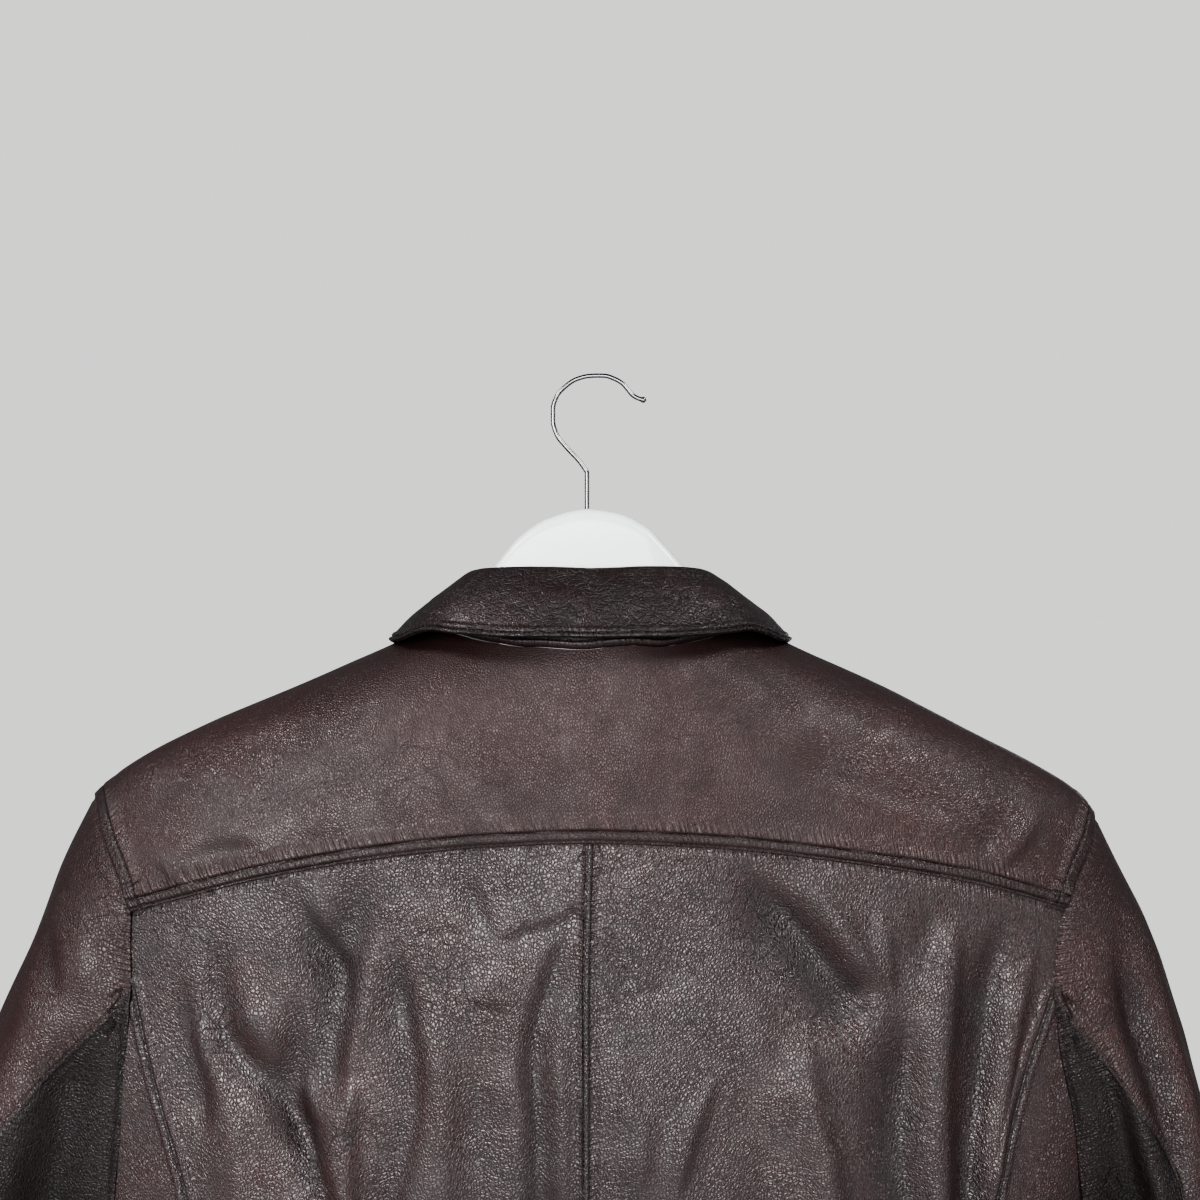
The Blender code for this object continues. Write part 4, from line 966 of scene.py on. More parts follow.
SLEEVE_FOLDS = {
    Side.LEFT: [
        Fold([(-243, -318), (-252, -350), (-262, -385), (-276, -440), (-290, -520)], 13, -8.0),
        Fold([(-285, -270), (-276, -300), (-268, -325)], 6.5, -2.4),
        Fold([(-262, -262), (-256, -295), (-252, -325)], 5.0, 1.6),
        Fold([(-330, -430), (-300, -470)], 9, -4.0),
        Fold([(-365, -560), (-300, -600)], 9, -4.5),
        Fold([(-300, -530), (-360, -620)], 10, 3.5),
        Fold([(-360, -660), (-305, -690)], 9, -3.5),
    ],
    Side.RIGHT: [
        Fold([(240, -318), (250, -350), (258, -385), (270, -440), (284, -520)], 10, -6.0),
        Fold([(262, -280), (270, -325), (280, -360), (292, -420), (298, -480)], 8.5, -6.5, -0.3),
        Fold([(272, -262), (284, -310), (298, -370), (311, -440), (320, -500)], 6.5, 2.6),
        Fold([(244, -268), (247, -300), (252, -330)], 5.0, 1.8),
        Fold([(345, -560), (288, -600)], 9, -4.5),
        Fold([(288, -540), (345, -630)], 10, 3.5),
        Fold([(342, -670), (292, -700)], 9, -3.5),
    ],
}


@dataclass
class Thread:
    """Collects the stitches of every seam, and makes them as one mesh."""

    material: bpy.types.Material
    pitch: float = 0.0024
    length: float = 0.0017
    thickness: float = 0.00042
    sink: float = 0.0001
    centres: list[Floats] = field(default_factory=list)
    ways: list[Floats] = field(default_factory=list)
    ups: list[Floats] = field(default_factory=list)

    def row(self, line: tuple[Floats, Floats]) -> None:
        """Sews one row of stitches.

        Args:
            line: Its points on the leather, and the outward direction at each.
        """
        points, normals = line
        gone = np.concatenate([[0.0], np.cumsum(np.linalg.norm(np.diff(points, axis=0), axis=1))])
        count = int(gone[-1] / self.pitch)
        places = (np.arange(count) + 0.5) * self.pitch
        spot = np.stack([np.interp(places, gone, column) for column in points.T], axis=1)
        ahead = np.stack([np.interp(places + 0.0004, gone, column) for column in points.T], axis=1)
        up = np.stack([np.interp(places, gone, column) for column in normals.T], axis=1)
        way = ahead - spot
        way /= np.linalg.norm(way, axis=1, keepdims=True)
        up /= np.linalg.norm(up, axis=1, keepdims=True)
        self.centres.append(spot - up * self.sink)
        self.ways.append(way)
        self.ups.append(up)

    def make(self) -> bpy.types.Object:
        """Makes the stitches' mesh.

        Returns:
            The object.
        """
        centre, way, up = (np.concatenate(rows) for rows in (self.centres, self.ways, self.ups))
        across = np.cross(up, way)
        turns = np.arange(6) * math.pi / 3
        shape = [(-0.5, 0.0, 0.0)]
        for place, size in ((-0.42, 0.6), (0.0, 1.0), (0.42, 0.6)):
            shape += [(place, size * math.cos(a), size * math.sin(a)) for a in turns]
        shape.append((0.5, 0.0, 0.0))
        shape = np.array(shape) * (self.length, self.thickness, self.thickness)
        basis = np.stack([way, across, up], axis=1)
        points = (centre[:, None] + np.einsum("kc,ncx->nkx", shape, basis)).reshape(-1, 3)
        faces = [(0, 1 + (k + 1) % 6, 1 + k) for k in range(6)]
        for ring in (1, 7):
            faces += [(ring + k, ring + (k + 1) % 6, ring + 6 + (k + 1) % 6, ring + 6 + k) for k in range(6)]
        faces += [(19, 13 + k, 13 + (k + 1) % 6) for k in range(6)]
        size = len(shape)
        every = [tuple(i + n * size for i in face) for n in range(len(centre)) for face in faces]
        return make_mesh("stitching", points, every, self.material, 180.0)


class Nodes:
    """A material's node tree, with short ways to add and link nodes."""

    def __init__(self, name: str) -> None:
        """Makes a new material with its shader.

        Args:
            name: The material's name.
        """
        self.material = bpy.data.materials.new(name)
        self.material.use_nodes = True
        self.tree = self.material.node_tree
        self.shader = self.tree.nodes["Principled BSDF"]

    def add(self, kind: str, inputs: dict | None = None,
            **settings: str | bool) -> bpy.types.ShaderNode:
        """Adds a node.

        Args:
            kind: Its type, without the prefix.
            inputs: Values or sockets for its inputs, by name or number.
            settings: Its properties.

        Returns:
            The node.
        """
        node = self.tree.nodes.new("ShaderNode" + kind)
        for key, value in settings.items():
            setattr(node, key, value)
        for key, value in (inputs or {}).items():
            self.put(node.inputs[key], value)
        return node

    def put(self, socket: bpy.types.NodeSocket, value: Input) -> None:
        """Links a socket to an input, or sets the input's value.

        Args:
            socket: The input.
            value: The socket or the value for it.
        """
        if isinstance(value, bpy.types.NodeSocket):
            self.tree.links.new(value, socket)
        else:
            socket.default_value = value

    def math(self, operation: str, a: Input, b: Input = 0.0, clamp: bool = False) -> bpy.types.NodeSocket:
        """Adds a sum of two values."""
        return self.add("Math", {0: a, 1: b}, operation=operation, use_clamp=clamp).outputs[0]

    def ramp(self, value: Input, low: float, high: float, start: float = 0.0,
             end: float = 1.0) -> bpy.types.NodeSocket:
        """Turns value from low to high into start to end, softly."""
        return self.add("MapRange", {0: value, 1: low, 2: high, 3: start, 4: end},
                        interpolation_type="SMOOTHSTEP").outputs[0]

    def mix(self, factor: Input, a: Input, b: Input) -> bpy.types.NodeSocket:
        """Mixes two colours.

        Args:
            factor: How much of the second, from 0 to 1.
            a: The first colour.
            b: The second colour.

        Returns:
            The mixed colour.
        """
        node = self.add("Mix", data_type="RGBA")
        for key, value in ((0, factor), (6, a), (7, b)):
            self.put(node.inputs[key], value)
        return node.outputs[2]

    def noise(self, place: Input, scale: float, detail: float = 2.0,
              rough: float = 0.5) -> bpy.types.NodeSocket:
        """Reads smooth noise in space."""
        settings = {"Vector": place, "Scale": scale, "Detail": detail, "Roughness": rough}
        return self.add("TexNoise", settings).outputs[0]

    def value(self, name: str) -> bpy.types.NodeSocket:
        """Reads a value that is stored on the mesh."""
        return self.add("Attribute", attribute_name=name).outputs["Fac"]


@dataclass(frozen=True)
class LeatherFinish:
    """Dark brown pebbled leather, rubbed redder where it wears, with pale painted highlights on the seams'
    pucker ticks and painted shade in its fold troughs, creases and wrinkles and on pieces set in shadow.
    """

    name: str = "leather"
    specular: float = 0.60
    dark: tuple = (0.0042, 0.0030, 0.0035, 1.0)
    body: tuple = (0.0185, 0.0090, 0.0088, 1.0)
    red: tuple = (0.0360, 0.0135, 0.0125, 1.0)
    # Pale colour of the painted highlights on the seams' pucker ticks.
    rubbed: tuple = (0.1200, 0.0950, 0.0900, 1.0)
    grain_cell: float = 0.0015
    grain_depth: float = 0.00021
    crease_cell: float = 0.0105
    crease_depth: float = 0.00034
    wrinkle_cell: float = 0.0026
    wrinkle_depth: float = 0.00036
    gather_pitch: float = 0.0016
    gather_depth: float = 0.00080
    roughness: float = 0.31

    def make(self) -> bpy.types.Material:
        """Builds the material.

        Returns:
            The material, which reads the values band, fold, gather, along, wear, grain, crease, shade,
            wrinkle and matte on the mesh.
        """
        n = Nodes(self.name)
        place = n.add("TexCoord").outputs["Object"]
        band, fold, wear, shade = (n.value(name) for name in ("band", "fold", "wear", "shade"))
        grain, crease, wrinkle = (n.value(name) for name in ("grain", "crease", "wrinkle"))
        finer = n.math("SUBTRACT", 2.0, grain)
        finer = n.add("VectorMath", {0: place, "Scale": finer}, operation="SCALE").outputs[0]
        cells = self.network(n, finer, 170.0, 0.0022, (1.0, 1.0, 0.75), self.grain_cell)
        near_edge = n.math("SUBTRACT", 1.0, n.math("MULTIPLY", cells, 2.7, clamp=True))
        pebble = n.math("SUBTRACT", 1.0, n.math("MULTIPLY", near_edge, near_edge))
        pebble_share = n.math("MULTIPLY", n.ramp(n.noise(place, 42.0, 3.0), 0.30, 0.62, 0.65, 1.1), grain)
        relief = n.math("MULTIPLY", pebble, pebble_share)
        relief = n.math("ADD", relief, n.math("MULTIPLY", n.noise(place, 1900.0, 2.0), 0.22))
        wide = self.network(n, place, 38.0, 0.030, (0.8, 1.0, 1.0), self.crease_cell)
        where = n.math("MULTIPLY", n.ramp(n.noise(place, 17.0, 2.0), 0.38, 0.72), crease)
        cut = n.math("MULTIPLY", n.ramp(wide, 0.0, 0.044, 1.0, 0.0), where)
        small = self.network(n, place, 90.0, 0.012, (0.5, 0.5, 1.3), self.wrinkle_cell)
        patchy = n.math("MULTIPLY", n.ramp(n.noise(place, 60.0, 2.0), 0.30, 0.62), wrinkle)
        fine = n.math("MULTIPLY", n.ramp(small, 0.0, 0.16, 1.0, 0.0), patchy)
        bump = n.add("Bump", {"Height": relief, "Distance": self.grain_depth}).outputs[0]
        bump = n.add("Bump", {"Height": n.math("SUBTRACT", 1.0, cut), "Distance": self.crease_depth,
                              "Normal": bump}).outputs[0]
        bump = n.add("Bump", {"Height": n.math("SUBTRACT", 1.0, fine), "Distance": self.wrinkle_depth,
                              "Normal": bump}).outputs[0]
        length = n.add("CombineXYZ", {0: n.value("along")}).outputs[0]
        ticks = n.ramp(n.noise(length, 1 / self.gather_pitch, 1.0), 0.36, 0.64)
        ticks = n.math("MULTIPLY", ticks, n.value("gather"))
        bump = n.add("Bump", {"Height": ticks, "Distance": self.gather_depth, "Normal": bump}).outputs[0]
        middling = n.noise(place, 60.0, 4.0, 0.65)
        tone = n.mix(n.ramp(n.noise(place, 9.0, 4.0, 0.6), 0.36, 0.74, 0.0, 0.6), self.body, self.red)
        tone = n.mix(n.math("MULTIPLY", n.ramp(middling, 0.42, 0.72), 0.4), tone, self.dark)
        tone = n.mix(n.math("MULTIPLY", wear, 0.85, clamp=True), tone, self.red)
        # Painted shade: the deeper a fold's trough, the more its colour darkens.
        trough = n.ramp(n.math("MULTIPLY", fold, -250.0), 0.1, 1.6, 0.0, 0.45)
        between = n.math("MULTIPLY", n.ramp(cells, 0.0, 0.16, 0.5, 0.0), grain)
        # Darkens the colour towards the dark tone: painted shade in the troughs, from the piece's shade value
        # and in the crease and wrinkle lines; it is also darker along the seam bands and between the pebbles.
        for factor in (trough, n.math("MULTIPLY", band, 0.35), shade, between,
                       n.math("MULTIPLY", cut, 0.85), n.math("MULTIPLY", fine, 0.6)):
            tone = n.mix(factor, tone, self.dark)
        # Painted highlight: the pucker ticks along the seams are mixed towards the pale colour.
        tone = n.mix(n.math("MULTIPLY", n.math("MULTIPLY", ticks, ticks), 0.45), tone, self.rubbed)
        n.put(n.shader.inputs["Base Color"], tone)
        rough = n.ramp(middling, 0.35, 0.70, self.roughness - 0.05, self.roughness + 0.07)
        rough = n.math("ADD", rough, n.math("MULTIPLY", n.ramp(cells, 0.0, 0.14, 0.3, 0.0), grain))
        rough = n.math("ADD", rough, n.math("MULTIPLY", cut, 0.3))
        rough = n.math("ADD", rough, n.math("MULTIPLY", n.value("matte"), self.matte(n, place)))
        n.put(n.shader.inputs["Roughness"], rough)
        n.put(n.shader.inputs["Normal"], bump)
        n.shader.inputs["Specular IOR Level"].default_value = self.specular
        return n.material

    @staticmethod
    def matte(n: Nodes, place: Input) -> bpy.types.NodeSocket:
        """How much duller the leather is near the middle of the back, where nothing rubs it."""
        across = n.add("SeparateXYZ", {0: place}).outputs[0]
        return n.ramp(n.math("ABSOLUTE", across), 0.05, 0.16, 0.16, 0.0)

    @staticmethod
    def network(n: Nodes, place: Input, warp_scale: float, warp: float, stretch: tuple,
                cell: float) -> bpy.types.NodeSocket:
        """Adds an irregular network of lines.

        Args:
            n: The material's nodes.
            place: Where it is read.
            warp_scale: How fine the warping is.
            warp: How far it moves the lines.
            stretch: The scale along each axis.
            cell: The size of a cell.

        Returns:
            The distance from the nearest line, 0 on it and about 0.5 at a cell's middle.
        """
        noise = n.add("TexNoise", {"Vector": place, "Scale": warp_scale, "Detail": 3.0}).outputs["Color"]
        moved = n.add("VectorMath", {0: noise, "Scale": warp}, operation="SCALE").outputs[0]
        moved = n.add("VectorMath", {0: place, 1: moved}, operation="ADD").outputs[0]
        moved = n.add("Mapping", {0: moved, "Scale": stretch}).outputs[0]
        return n.add("TexVoronoi", {"Vector": moved, "Scale": 1 / cell},
                     feature="DISTANCE_TO_EDGE").outputs["Distance"]


@dataclass(frozen=True)
class PlainFinish:
    """A plain finish with one colour, and a slight unevenness."""

    name: str
    colour: tuple
    roughness: float
    metallic: float = 0.0
    coat: float = 0.0
    ripple: float = 0.0

    def make(self) -> bpy.types.Material:
        """Builds the material.

        Returns:
            The material.
        """
        n = Nodes(self.name)
        place = n.add("TexCoord").outputs["Object"]
        shade = n.ramp(n.noise(place, 35.0, 4.0), 0.3, 0.7, 0.94, 1.0)
        dim = tuple(0.90 * c for c in self.colour[:3]) + (1.0,)
        n.put(n.shader.inputs["Base Color"], n.mix(shade, dim, self.colour))
        n.shader.inputs["Roughness"].default_value = self.roughness
        n.shader.inputs["Metallic"].default_value = self.metallic
        n.shader.inputs["Coat Weight"].default_value = self.coat
        if self.ripple:
            bump = n.add("Bump", {"Height": n.noise(place, 220.0, 3.0), "Distance": self.ripple}).outputs[0]
            n.put(n.shader.inputs["Normal"], bump)
        return n.material


@dataclass
class Finishes:
    """Every material of the object."""

    leather: bpy.types.Material = field(default_factory=lambda: LeatherFinish().make())
    rubbed: bpy.types.Material = field(default_factory=lambda: LeatherFinish("leather_rubbed", 0.42).make())
    # A less glossy copy of the leather, whose dimmer sheen is painted shade for the under sleeves.
    shaded: bpy.types.Material = field(default_factory=lambda: LeatherFinish("leather_shaded", 0.32).make())
    thread: bpy.types.Material = field(default_factory=lambda: PlainFinish(
        "thread", (0.010, 0.007, 0.006, 1.0), 0.55).make())
    hanger: bpy.types.Material = field(default_factory=lambda: PlainFinish(
        "white_satin", (0.56, 0.58, 0.575, 1.0), 0.38, coat=0.2, ripple=0.00003).make())
    chrome: bpy.types.Material = field(default_factory=lambda: PlainFinish(
        "chrome", (0.14, 0.14, 0.145, 1.0), 0.22, metallic=1.0).make())
    button: bpy.types.Material = field(default_factory=lambda: PlainFinish(
        "dark_button", (0.020, 0.015, 0.013, 1.0), 0.22, coat=0.4).make())


def carry(made: bpy.types.Object, slot: str, *nodes: str) -> bpy.types.Object:
    """Puts a piece on the part's body in place of its solids.

    Args:
        made: The object.
        slot: The record's material slot, which is not used.
        nodes: The solids that it stands for.

    Returns:
        The same object.
    """
    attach(made, "root")
    if nodes:
        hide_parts(*nodes)
    triangles = sum(len(face.vertices) - 2 for face in made.data.polygons)
    LOG.info("%s: %d triangles", made.name, triangles)
    return made


@dataclass
class Cloth:
    """What every leather piece is made with."""

    torso: Torso
    seams: dict[Side, Seams]
    finishes: Finishes
    thread: Thread
    soft: Ripple = field(default_factory=lambda: Ripple(Noise(3, (0.040, 0.040, 0.060)), 0.0012))
    drape: Ripple = field(default_factory=lambda: Ripple(Noise(9, (0.019, 0.019, 0.075)), 0.0010))
    small: Ripple = field(default_factory=lambda: Ripple(Noise(5, (0.013, 0.013, 0.020)), 0.00036))

    def sheet(self, grid: Floats, seams: Sequence[SeamBand] = (), lift: float = 0.0,
              loose: float = 1.0) -> Sheet:
        """Raises a grid of beta and v on the torso, with the torso's folds.

        Args:
            grid: Beta and v of each point.
            seams: The seam bands on it.
            lift: How far the whole sheet lies off the torso's surface.
            loose: How much of the random unevenness it has.

        Returns:
            The sheet.
        """
        base, normals = self.torso.point(grid), self.torso.normal(grid)
        made = Sheet.on(base + normals * lift, normals, [], seams)
        flat = base.reshape(-1, 3)
        facing = grid[..., 1].ravel() >= 0
        folds = np.zeros(len(flat))
        for chosen, reliefs in ((facing, BACK_FOLDS), (~facing, FRONT_FOLDS)):
            if chosen.any():
                folds[chosen] = sum(fold.height(flat[chosen]) for fold in reliefs)
        folds += loose * (self.soft.height(flat) + self.drape.height(flat)) + self.small.height(flat)
        folds *= np.clip(np.abs(grid[..., 1].ravel()) / self.torso.roll, 0.15, 1.0)
        made.fold = folds.reshape(base.shape[:2])
        made.lift = made.lift + made.fold
        return made

    def edge(self, line: Line, count: int = 160) -> Floats:
        """The points in space of a seam line of beta and v."""
        return self.torso.point(line.at(np.linspace(0.0, 1.0, count)))

    def piece(self, name: str, sheets: Sequence[Sheet], flat: tuple[float, float], area: float,
              rests_on: Sequence[str] = (), finish: str = "leather", **tones: float) -> None:
        """Makes a leather piece and sets it on the part.

        Args:
            name: The solid that it replaces.
            sheets: Its grids.
            flat: The width and length it was cut from; not used.
            area: The flat area of its cut; not used.
            rests_on: What it hangs from; not used.
            finish: Which of the leathers it has.
            tones: Its own values of the leather's settings.
        """
        tones = {"wear": 0.0, "grain": 1.0, "crease": 0.8, "shade": 0.0, "wrinkle": 0.0, "matte": 0.0} | tones
        made = make_wall(name + "_leather", sheets, getattr(self.finishes, finish), tones)
        carry(made, "leather", name)
        list(rests_on)


FINE, MEDIUM, COARSE = 0.0006, 0.0016, 0.0055


@dataclass
class Yoke:
    """The back yoke: two wings over the shoulders and the stretch between them below the neck."""

    cloth: Cloth
    rows: tuple[float, float] = (0.0014, 0.0062)
    armhole_row: float = 0.0064

    def build(self) -> None:
        """Makes the yoke and its stitches."""
        seams, cloth = self.cloth.seams, self.cloth
        foot = Chain(((seams[Side.LEFT].yoke_edge, 15), (reverse(seams[Side.RIGHT].yoke_edge), 15)))
        bands = [SeamBand(cloth.edge(foot, 400), rise=0.0013, width=0.0078, rows=self.rows, seed=11,
                          gather=1.0, bulge=0.0003, groove=0.0007, fade=0.008)]
        for side, own in seams.items():
            armhole = Chain(((own.armhole_front_yoke, 2), (own.armhole_back_yoke, 8)))
            bands.append(SeamBand(cloth.edge(armhole), rise=0.0010, width=0.0078, rows=(self.armhole_row,),
                                  seed=13 + side.value, groove=0.0007, fade=0.006))
        lower = spread([(0.0, 0.0012), (0.012, MEDIUM), (0.088, MEDIUM), (0.093, FINE), (0.100, FINE)])
        upper = spread([(0.0, 0.007), (0.05, 0.004), (0.065, 0.0022), (0.090, 0.0016)])
        down = np.concatenate([upper * 0.5, 0.5 + lower[1:] * 0.5])
        across = spread([(0.0, FINE), (0.008, FINE), (0.014, 0.0014), (0.190, 0.0014)])
        split_row = len(upper) - 1
        wings = {}
        for side, own in seams.items():
            inner = Chain((
                (reverse(own.neck_front_yoke), 2), (reverse(own.neck_back), 3),
                (straight(own.split, own.yoke_edge.at(np.array(YOKE_WING_SHARE))), 5),
            ))
            outer = Chain(((own.armhole_front_yoke, 2), (own.armhole_back_yoke, 8)))
            patch = Patch(own.yoke_front, Stretch(own.yoke_edge, 0.0, YOKE_WING_SHARE), outer, inner)
            wings[side] = cloth.sheet(patch.grid(across, down), bands, loose=0.5)
        ends = {side: own.yoke_edge.at(np.array(YOKE_WING_SHARE)) for side, own in seams.items()}
        middle_across = spread([(0.0, 0.0014), (0.090, 0.0014)])
        wing_rest = Chain((
            (Stretch(seams[Side.LEFT].yoke_edge, YOKE_WING_SHARE, 1.0), 3),
            (Stretch(seams[Side.RIGHT].yoke_edge, 1.0, YOKE_WING_SHARE), 3),
        ))
        patch = Patch(neck_middle(seams), wing_rest, straight(seams[Side.LEFT].split, ends[Side.LEFT]),
                      straight(seams[Side.RIGHT].split, ends[Side.RIGHT]))
        middle = cloth.sheet(patch.grid(middle_across, lower), bands, loose=0.5)
        for column, side in ((0, Side.LEFT), (-1, Side.RIGHT)):
            wing = wings[side]
            for name in SHEET_PARTS:
                getattr(middle, name)[:, column] = getattr(wing, name)[split_row:, -1]
        for distance in self.rows:
            rows = [wings[Side.LEFT].inset("bottom", distance), middle.inset("bottom", distance),
                    tuple(part[::-1] for part in wings[Side.RIGHT].inset("bottom", distance))]
            cloth.thread.row(tuple(np.concatenate([row[k] for row in rows]) for k in (0, 1)))
        for wing in wings.values():
            cloth.thread.row(wing.inset("left", self.armhole_row))
        cloth.piece("back_yoke", [*wings.values(), middle], (0.56, 0.22), 0.0746, ["hanger_body"],
                    "rubbed", wear=0.30, grain=0.7, crease=0.35, matte=1.0)


@dataclass
class BackPanels:
    """A back panel between the centre seam and the side seam, and the side back panel beside it."""

    cloth: Cloth
    side: Side
    centre_row: float = 0.0030
    side_rows: tuple[float, float] = (0.0012, 0.0034)

    def build(self) -> None:
        """Makes both panels and their stitches."""
        cloth, own = self.cloth, self.cloth.seams[self.side]
        left = self.side is Side.LEFT
        word = self.side.word
        outer = Chain(((own.armhole_back, 2), (own.side_seam, 15)))
        start = cloth.torso.find(own.cut.side_seam[-1][0], cloth.torso.hem_z)[0]
        end = cloth.torso.find(CENTRE_SEAM[-1][0], cloth.torso.hem_z)[0]
        patch = Patch(own.yoke_edge, own.hem(start, end), outer, own.centre)
        down = spread([(0.0, 0.0010), (0.006, MEDIUM), (0.205, MEDIUM), (0.26, COARSE), (0.545, COARSE),
                       (0.553, 0.0015), (0.563, 0.0012)])
        across = spread([(0.0, FINE), (0.006, FINE), (0.012, MEDIUM), (0.200, MEDIUM), (0.212, FINE),
                         (0.218, FINE)])
        side_line = cloth.edge(own.side_seam, 300)
        bands = [
            SeamBand(side_line, rise=0.0012, width=0.0045, rows=self.side_rows[:1], seed=21,
                     reach=0.0035, groove=0.0008),
            SeamBand(cloth.edge(own.centre, 300), rise=0.0013 if left else -0.0006, width=0.0036,
                     rows=(self.centre_row,) if left else (), gather=0.5, reach=0.004, seed=23,
                     groove=0.0009),
            SeamBand(cloth.edge(own.yoke_edge, 300), rise=-0.0006, width=0.001, gather=0.5, seed=25),
        ]
        sheet = cloth.sheet(patch.grid(across, down), bands)
        cloth.thread.row(sheet.inset("left", self.side_rows[0]))
        if left:
            cloth.thread.row(sheet.inset("right", self.centre_row))
        cloth.thread.row(sheet.inset("bottom", HEM_ROW))
        cloth.piece(f"back_{word}", [sheet], (0.25, 0.57), 0.110, ["back_yoke_leather"],
                    wear=0.05, crease=0.8)

        hem = own.hem(start, own.side_back.at(np.array(1.0))[0])
        patch = Patch(own.armhole_side, hem, own.side_seam, own.side_back)
        down = spread([(0.0, 0.0010), (0.010, 0.0022), (0.13, 0.0022), (0.18, COARSE), (0.480, COARSE),
                       (0.488, 0.0015)])
        across = spread([(0.0, FINE), (0.006, FINE), (0.012, 0.0022), (0.09, 0.003)])
        bands = [SeamBand(side_line, rise=0.0006, width=0.003, rows=self.side_rows[:1], seed=27,
                          reach=0.003, groove=0.0008)]
        sheet = cloth.sheet(patch.grid(across, down), bands)
        cloth.thread.row(sheet.inset("left", self.side_rows[0]))
        cloth.piece(f"side_back_{word}", [sheet], (0.14, 0.50), 0.043, [f"back_{word}_leather"], wear=0.05)


@dataclass
class FrontPanel:
    """One front: its main part, the part under the arm, and the strip under the button band."""

    cloth: Cloth
    side: Side

    def build(self) -> Floats:
        """Makes the front.

        Returns:
            Beta and v of the strip under the button band, from its inner edge to the closing edge.
        """
        cloth, own, sign = self.cloth, self.cloth.seams[self.side], self.side.value
        torso = cloth.torso
        band_top = torso.at_x(torso.centre_x + sign * BAND_HALF_WIDTH, NECK_FRONT_V)
        band_foot = torso.find(torso.centre_x + sign * BAND_HALF_WIDTH, torso.hem_z, -1)
        outer = Chain(((own.armhole_front, 3), (own.side_front_line, 15)))
        top = Chain(((own.yoke_front, 5), (own.neck_front, 3)))
        side_foot = own.side_front_line.at(np.array(1.0))
        patch = Patch(top, own.hem(side_foot[0], band_foot[0], -1), outer, straight(band_top, band_foot))
        down = spread([(0.0, 0.003), (0.015, 0.006), (0.56, 0.006), (0.58, 0.002)])
        share = 3 / 18
        down = np.concatenate([down[down < share - 1e-9], [share], down[down > share + 1e-6]])
        split_row = int(np.argmin(np.abs(down - share)))
        across = spread([(0.0, 0.003), (0.010, 0.0045), (0.20, 0.0045), (0.21, 0.002)])
        seam = SeamBand(cloth.edge(own.yoke_front), rise=0.0, seed=31)
        main = cloth.sheet(patch.grid(across, down), [seam])
        under_down = (down[split_row:] - share) / (1 - share)
        under_hem = own.hem(own.side_front.at(np.array(1.0))[0], side_foot[0], -1)
        patch = Patch(reverse(own.armhole_side_front), under_hem, own.side_front, own.side_front_line)
        under = cloth.sheet(patch.grid(spread([(0.0, 0.0045), (0.09, 0.0045)]), under_down), [seam])
        inner = straight(band_top, band_foot).at(down)
        centre_foot = torso.find(torso.centre_x, torso.hem_z, -1)
        centre = straight(torso.at_x(torso.centre_x, NECK_FRONT_V), centre_foot)
        steps = np.linspace(0.0, 1.0, 6)[None, :, None]
        strip_grid = inner[:, None] * (1 - steps) + centre.at(down)[:, None] * steps
        strip = cloth.sheet(strip_grid, [])
        for name in SHEET_PARTS:
            getattr(under, name)[:, -1] = getattr(main, name)[split_row:, 0]
            getattr(strip, name)[:, 0] = getattr(main, name)[:, -1]
        cloth.thread.row(main.inset("bottom", HEM_ROW))
        cloth.piece(f"front_{self.side.word}", [main, under, strip], (0.34, 0.66), 0.159,
                    ["back_yoke_leather"], wear=0.10)
        return strip_grid


@dataclass
class ButtonBand:
    """The band over the closing edge, and its turned buttons."""

    cloth: Cloth
    radius: float = 0.0085
    height: float = 0.0038
    rim: float = 0.0016
    places: tuple[float, ...] = (-0.230, -0.350, -0.470, -0.590, -0.710)

    def build(self, strips: dict[Side, Floats]) -> None:
        """Makes the band and the buttons.

        Args:
            strips: Beta and v of the strips of both fronts under the band.
        """
        cloth, torso = self.cloth, self.cloth.torso
        grid = np.concatenate([strips[Side.LEFT][:, :-1], strips[Side.RIGHT][:, ::-1]], axis=1)
        sheet = cloth.sheet(grid, [], WALL + SEAM_GAP)
        for edge in ("left", "right"):
            cloth.thread.row(sheet.inset(edge, 0.003))
        cloth.piece("button_band", [sheet], (0.034, 0.60), 0.0197, ["front_left_leather"], wear=0.15)
        centre_line = strips[Side.LEFT][:, -1]
        heights = torso.point(centre_line)[:, 2]
        for number, z in enumerate(self.places, start=1):
            place = np.array([centre_line[0, 0], np.interp(-z, -heights, centre_line[:, 1])])
            self.button(number, torso.point(place), torso.normal(place))

    def button(self, number: int, seat: Floats, out: Floats) -> None:
        """Makes one button on the band.

        Args:
            number: Its number from the top.
            seat: The torso's point below it.
            out: The outward direction there.
        """
        profile = [
            (0.05, 0.62), (0.60, 0.58), (0.70, 0.78), (0.78, 0.98), (0.88, 1.0), (0.97, 0.86), (1.0, 0.62),
            (0.97, 0.30), (0.88, 0.0), (0.05, 0.0),
        ]
        across = np.array([1.0, 0.0, 0.0])
        up = np.cross(out, across)
        turns = np.linspace(0.0, 2 * math.pi, 49)[:-1, None]
        seat = seat + out * (WALL + 3 * SEAM_GAP)
        rings = np.stack([
            seat + out * self.height * h + self.radius * r * (across * np.cos(turns) + up * np.sin(turns))
            for r, h in profile])
        carry(loft(f"button_{number}_turned", rings, self.cloth.finishes.button, 35.0), "button",
              f"button_{number}")


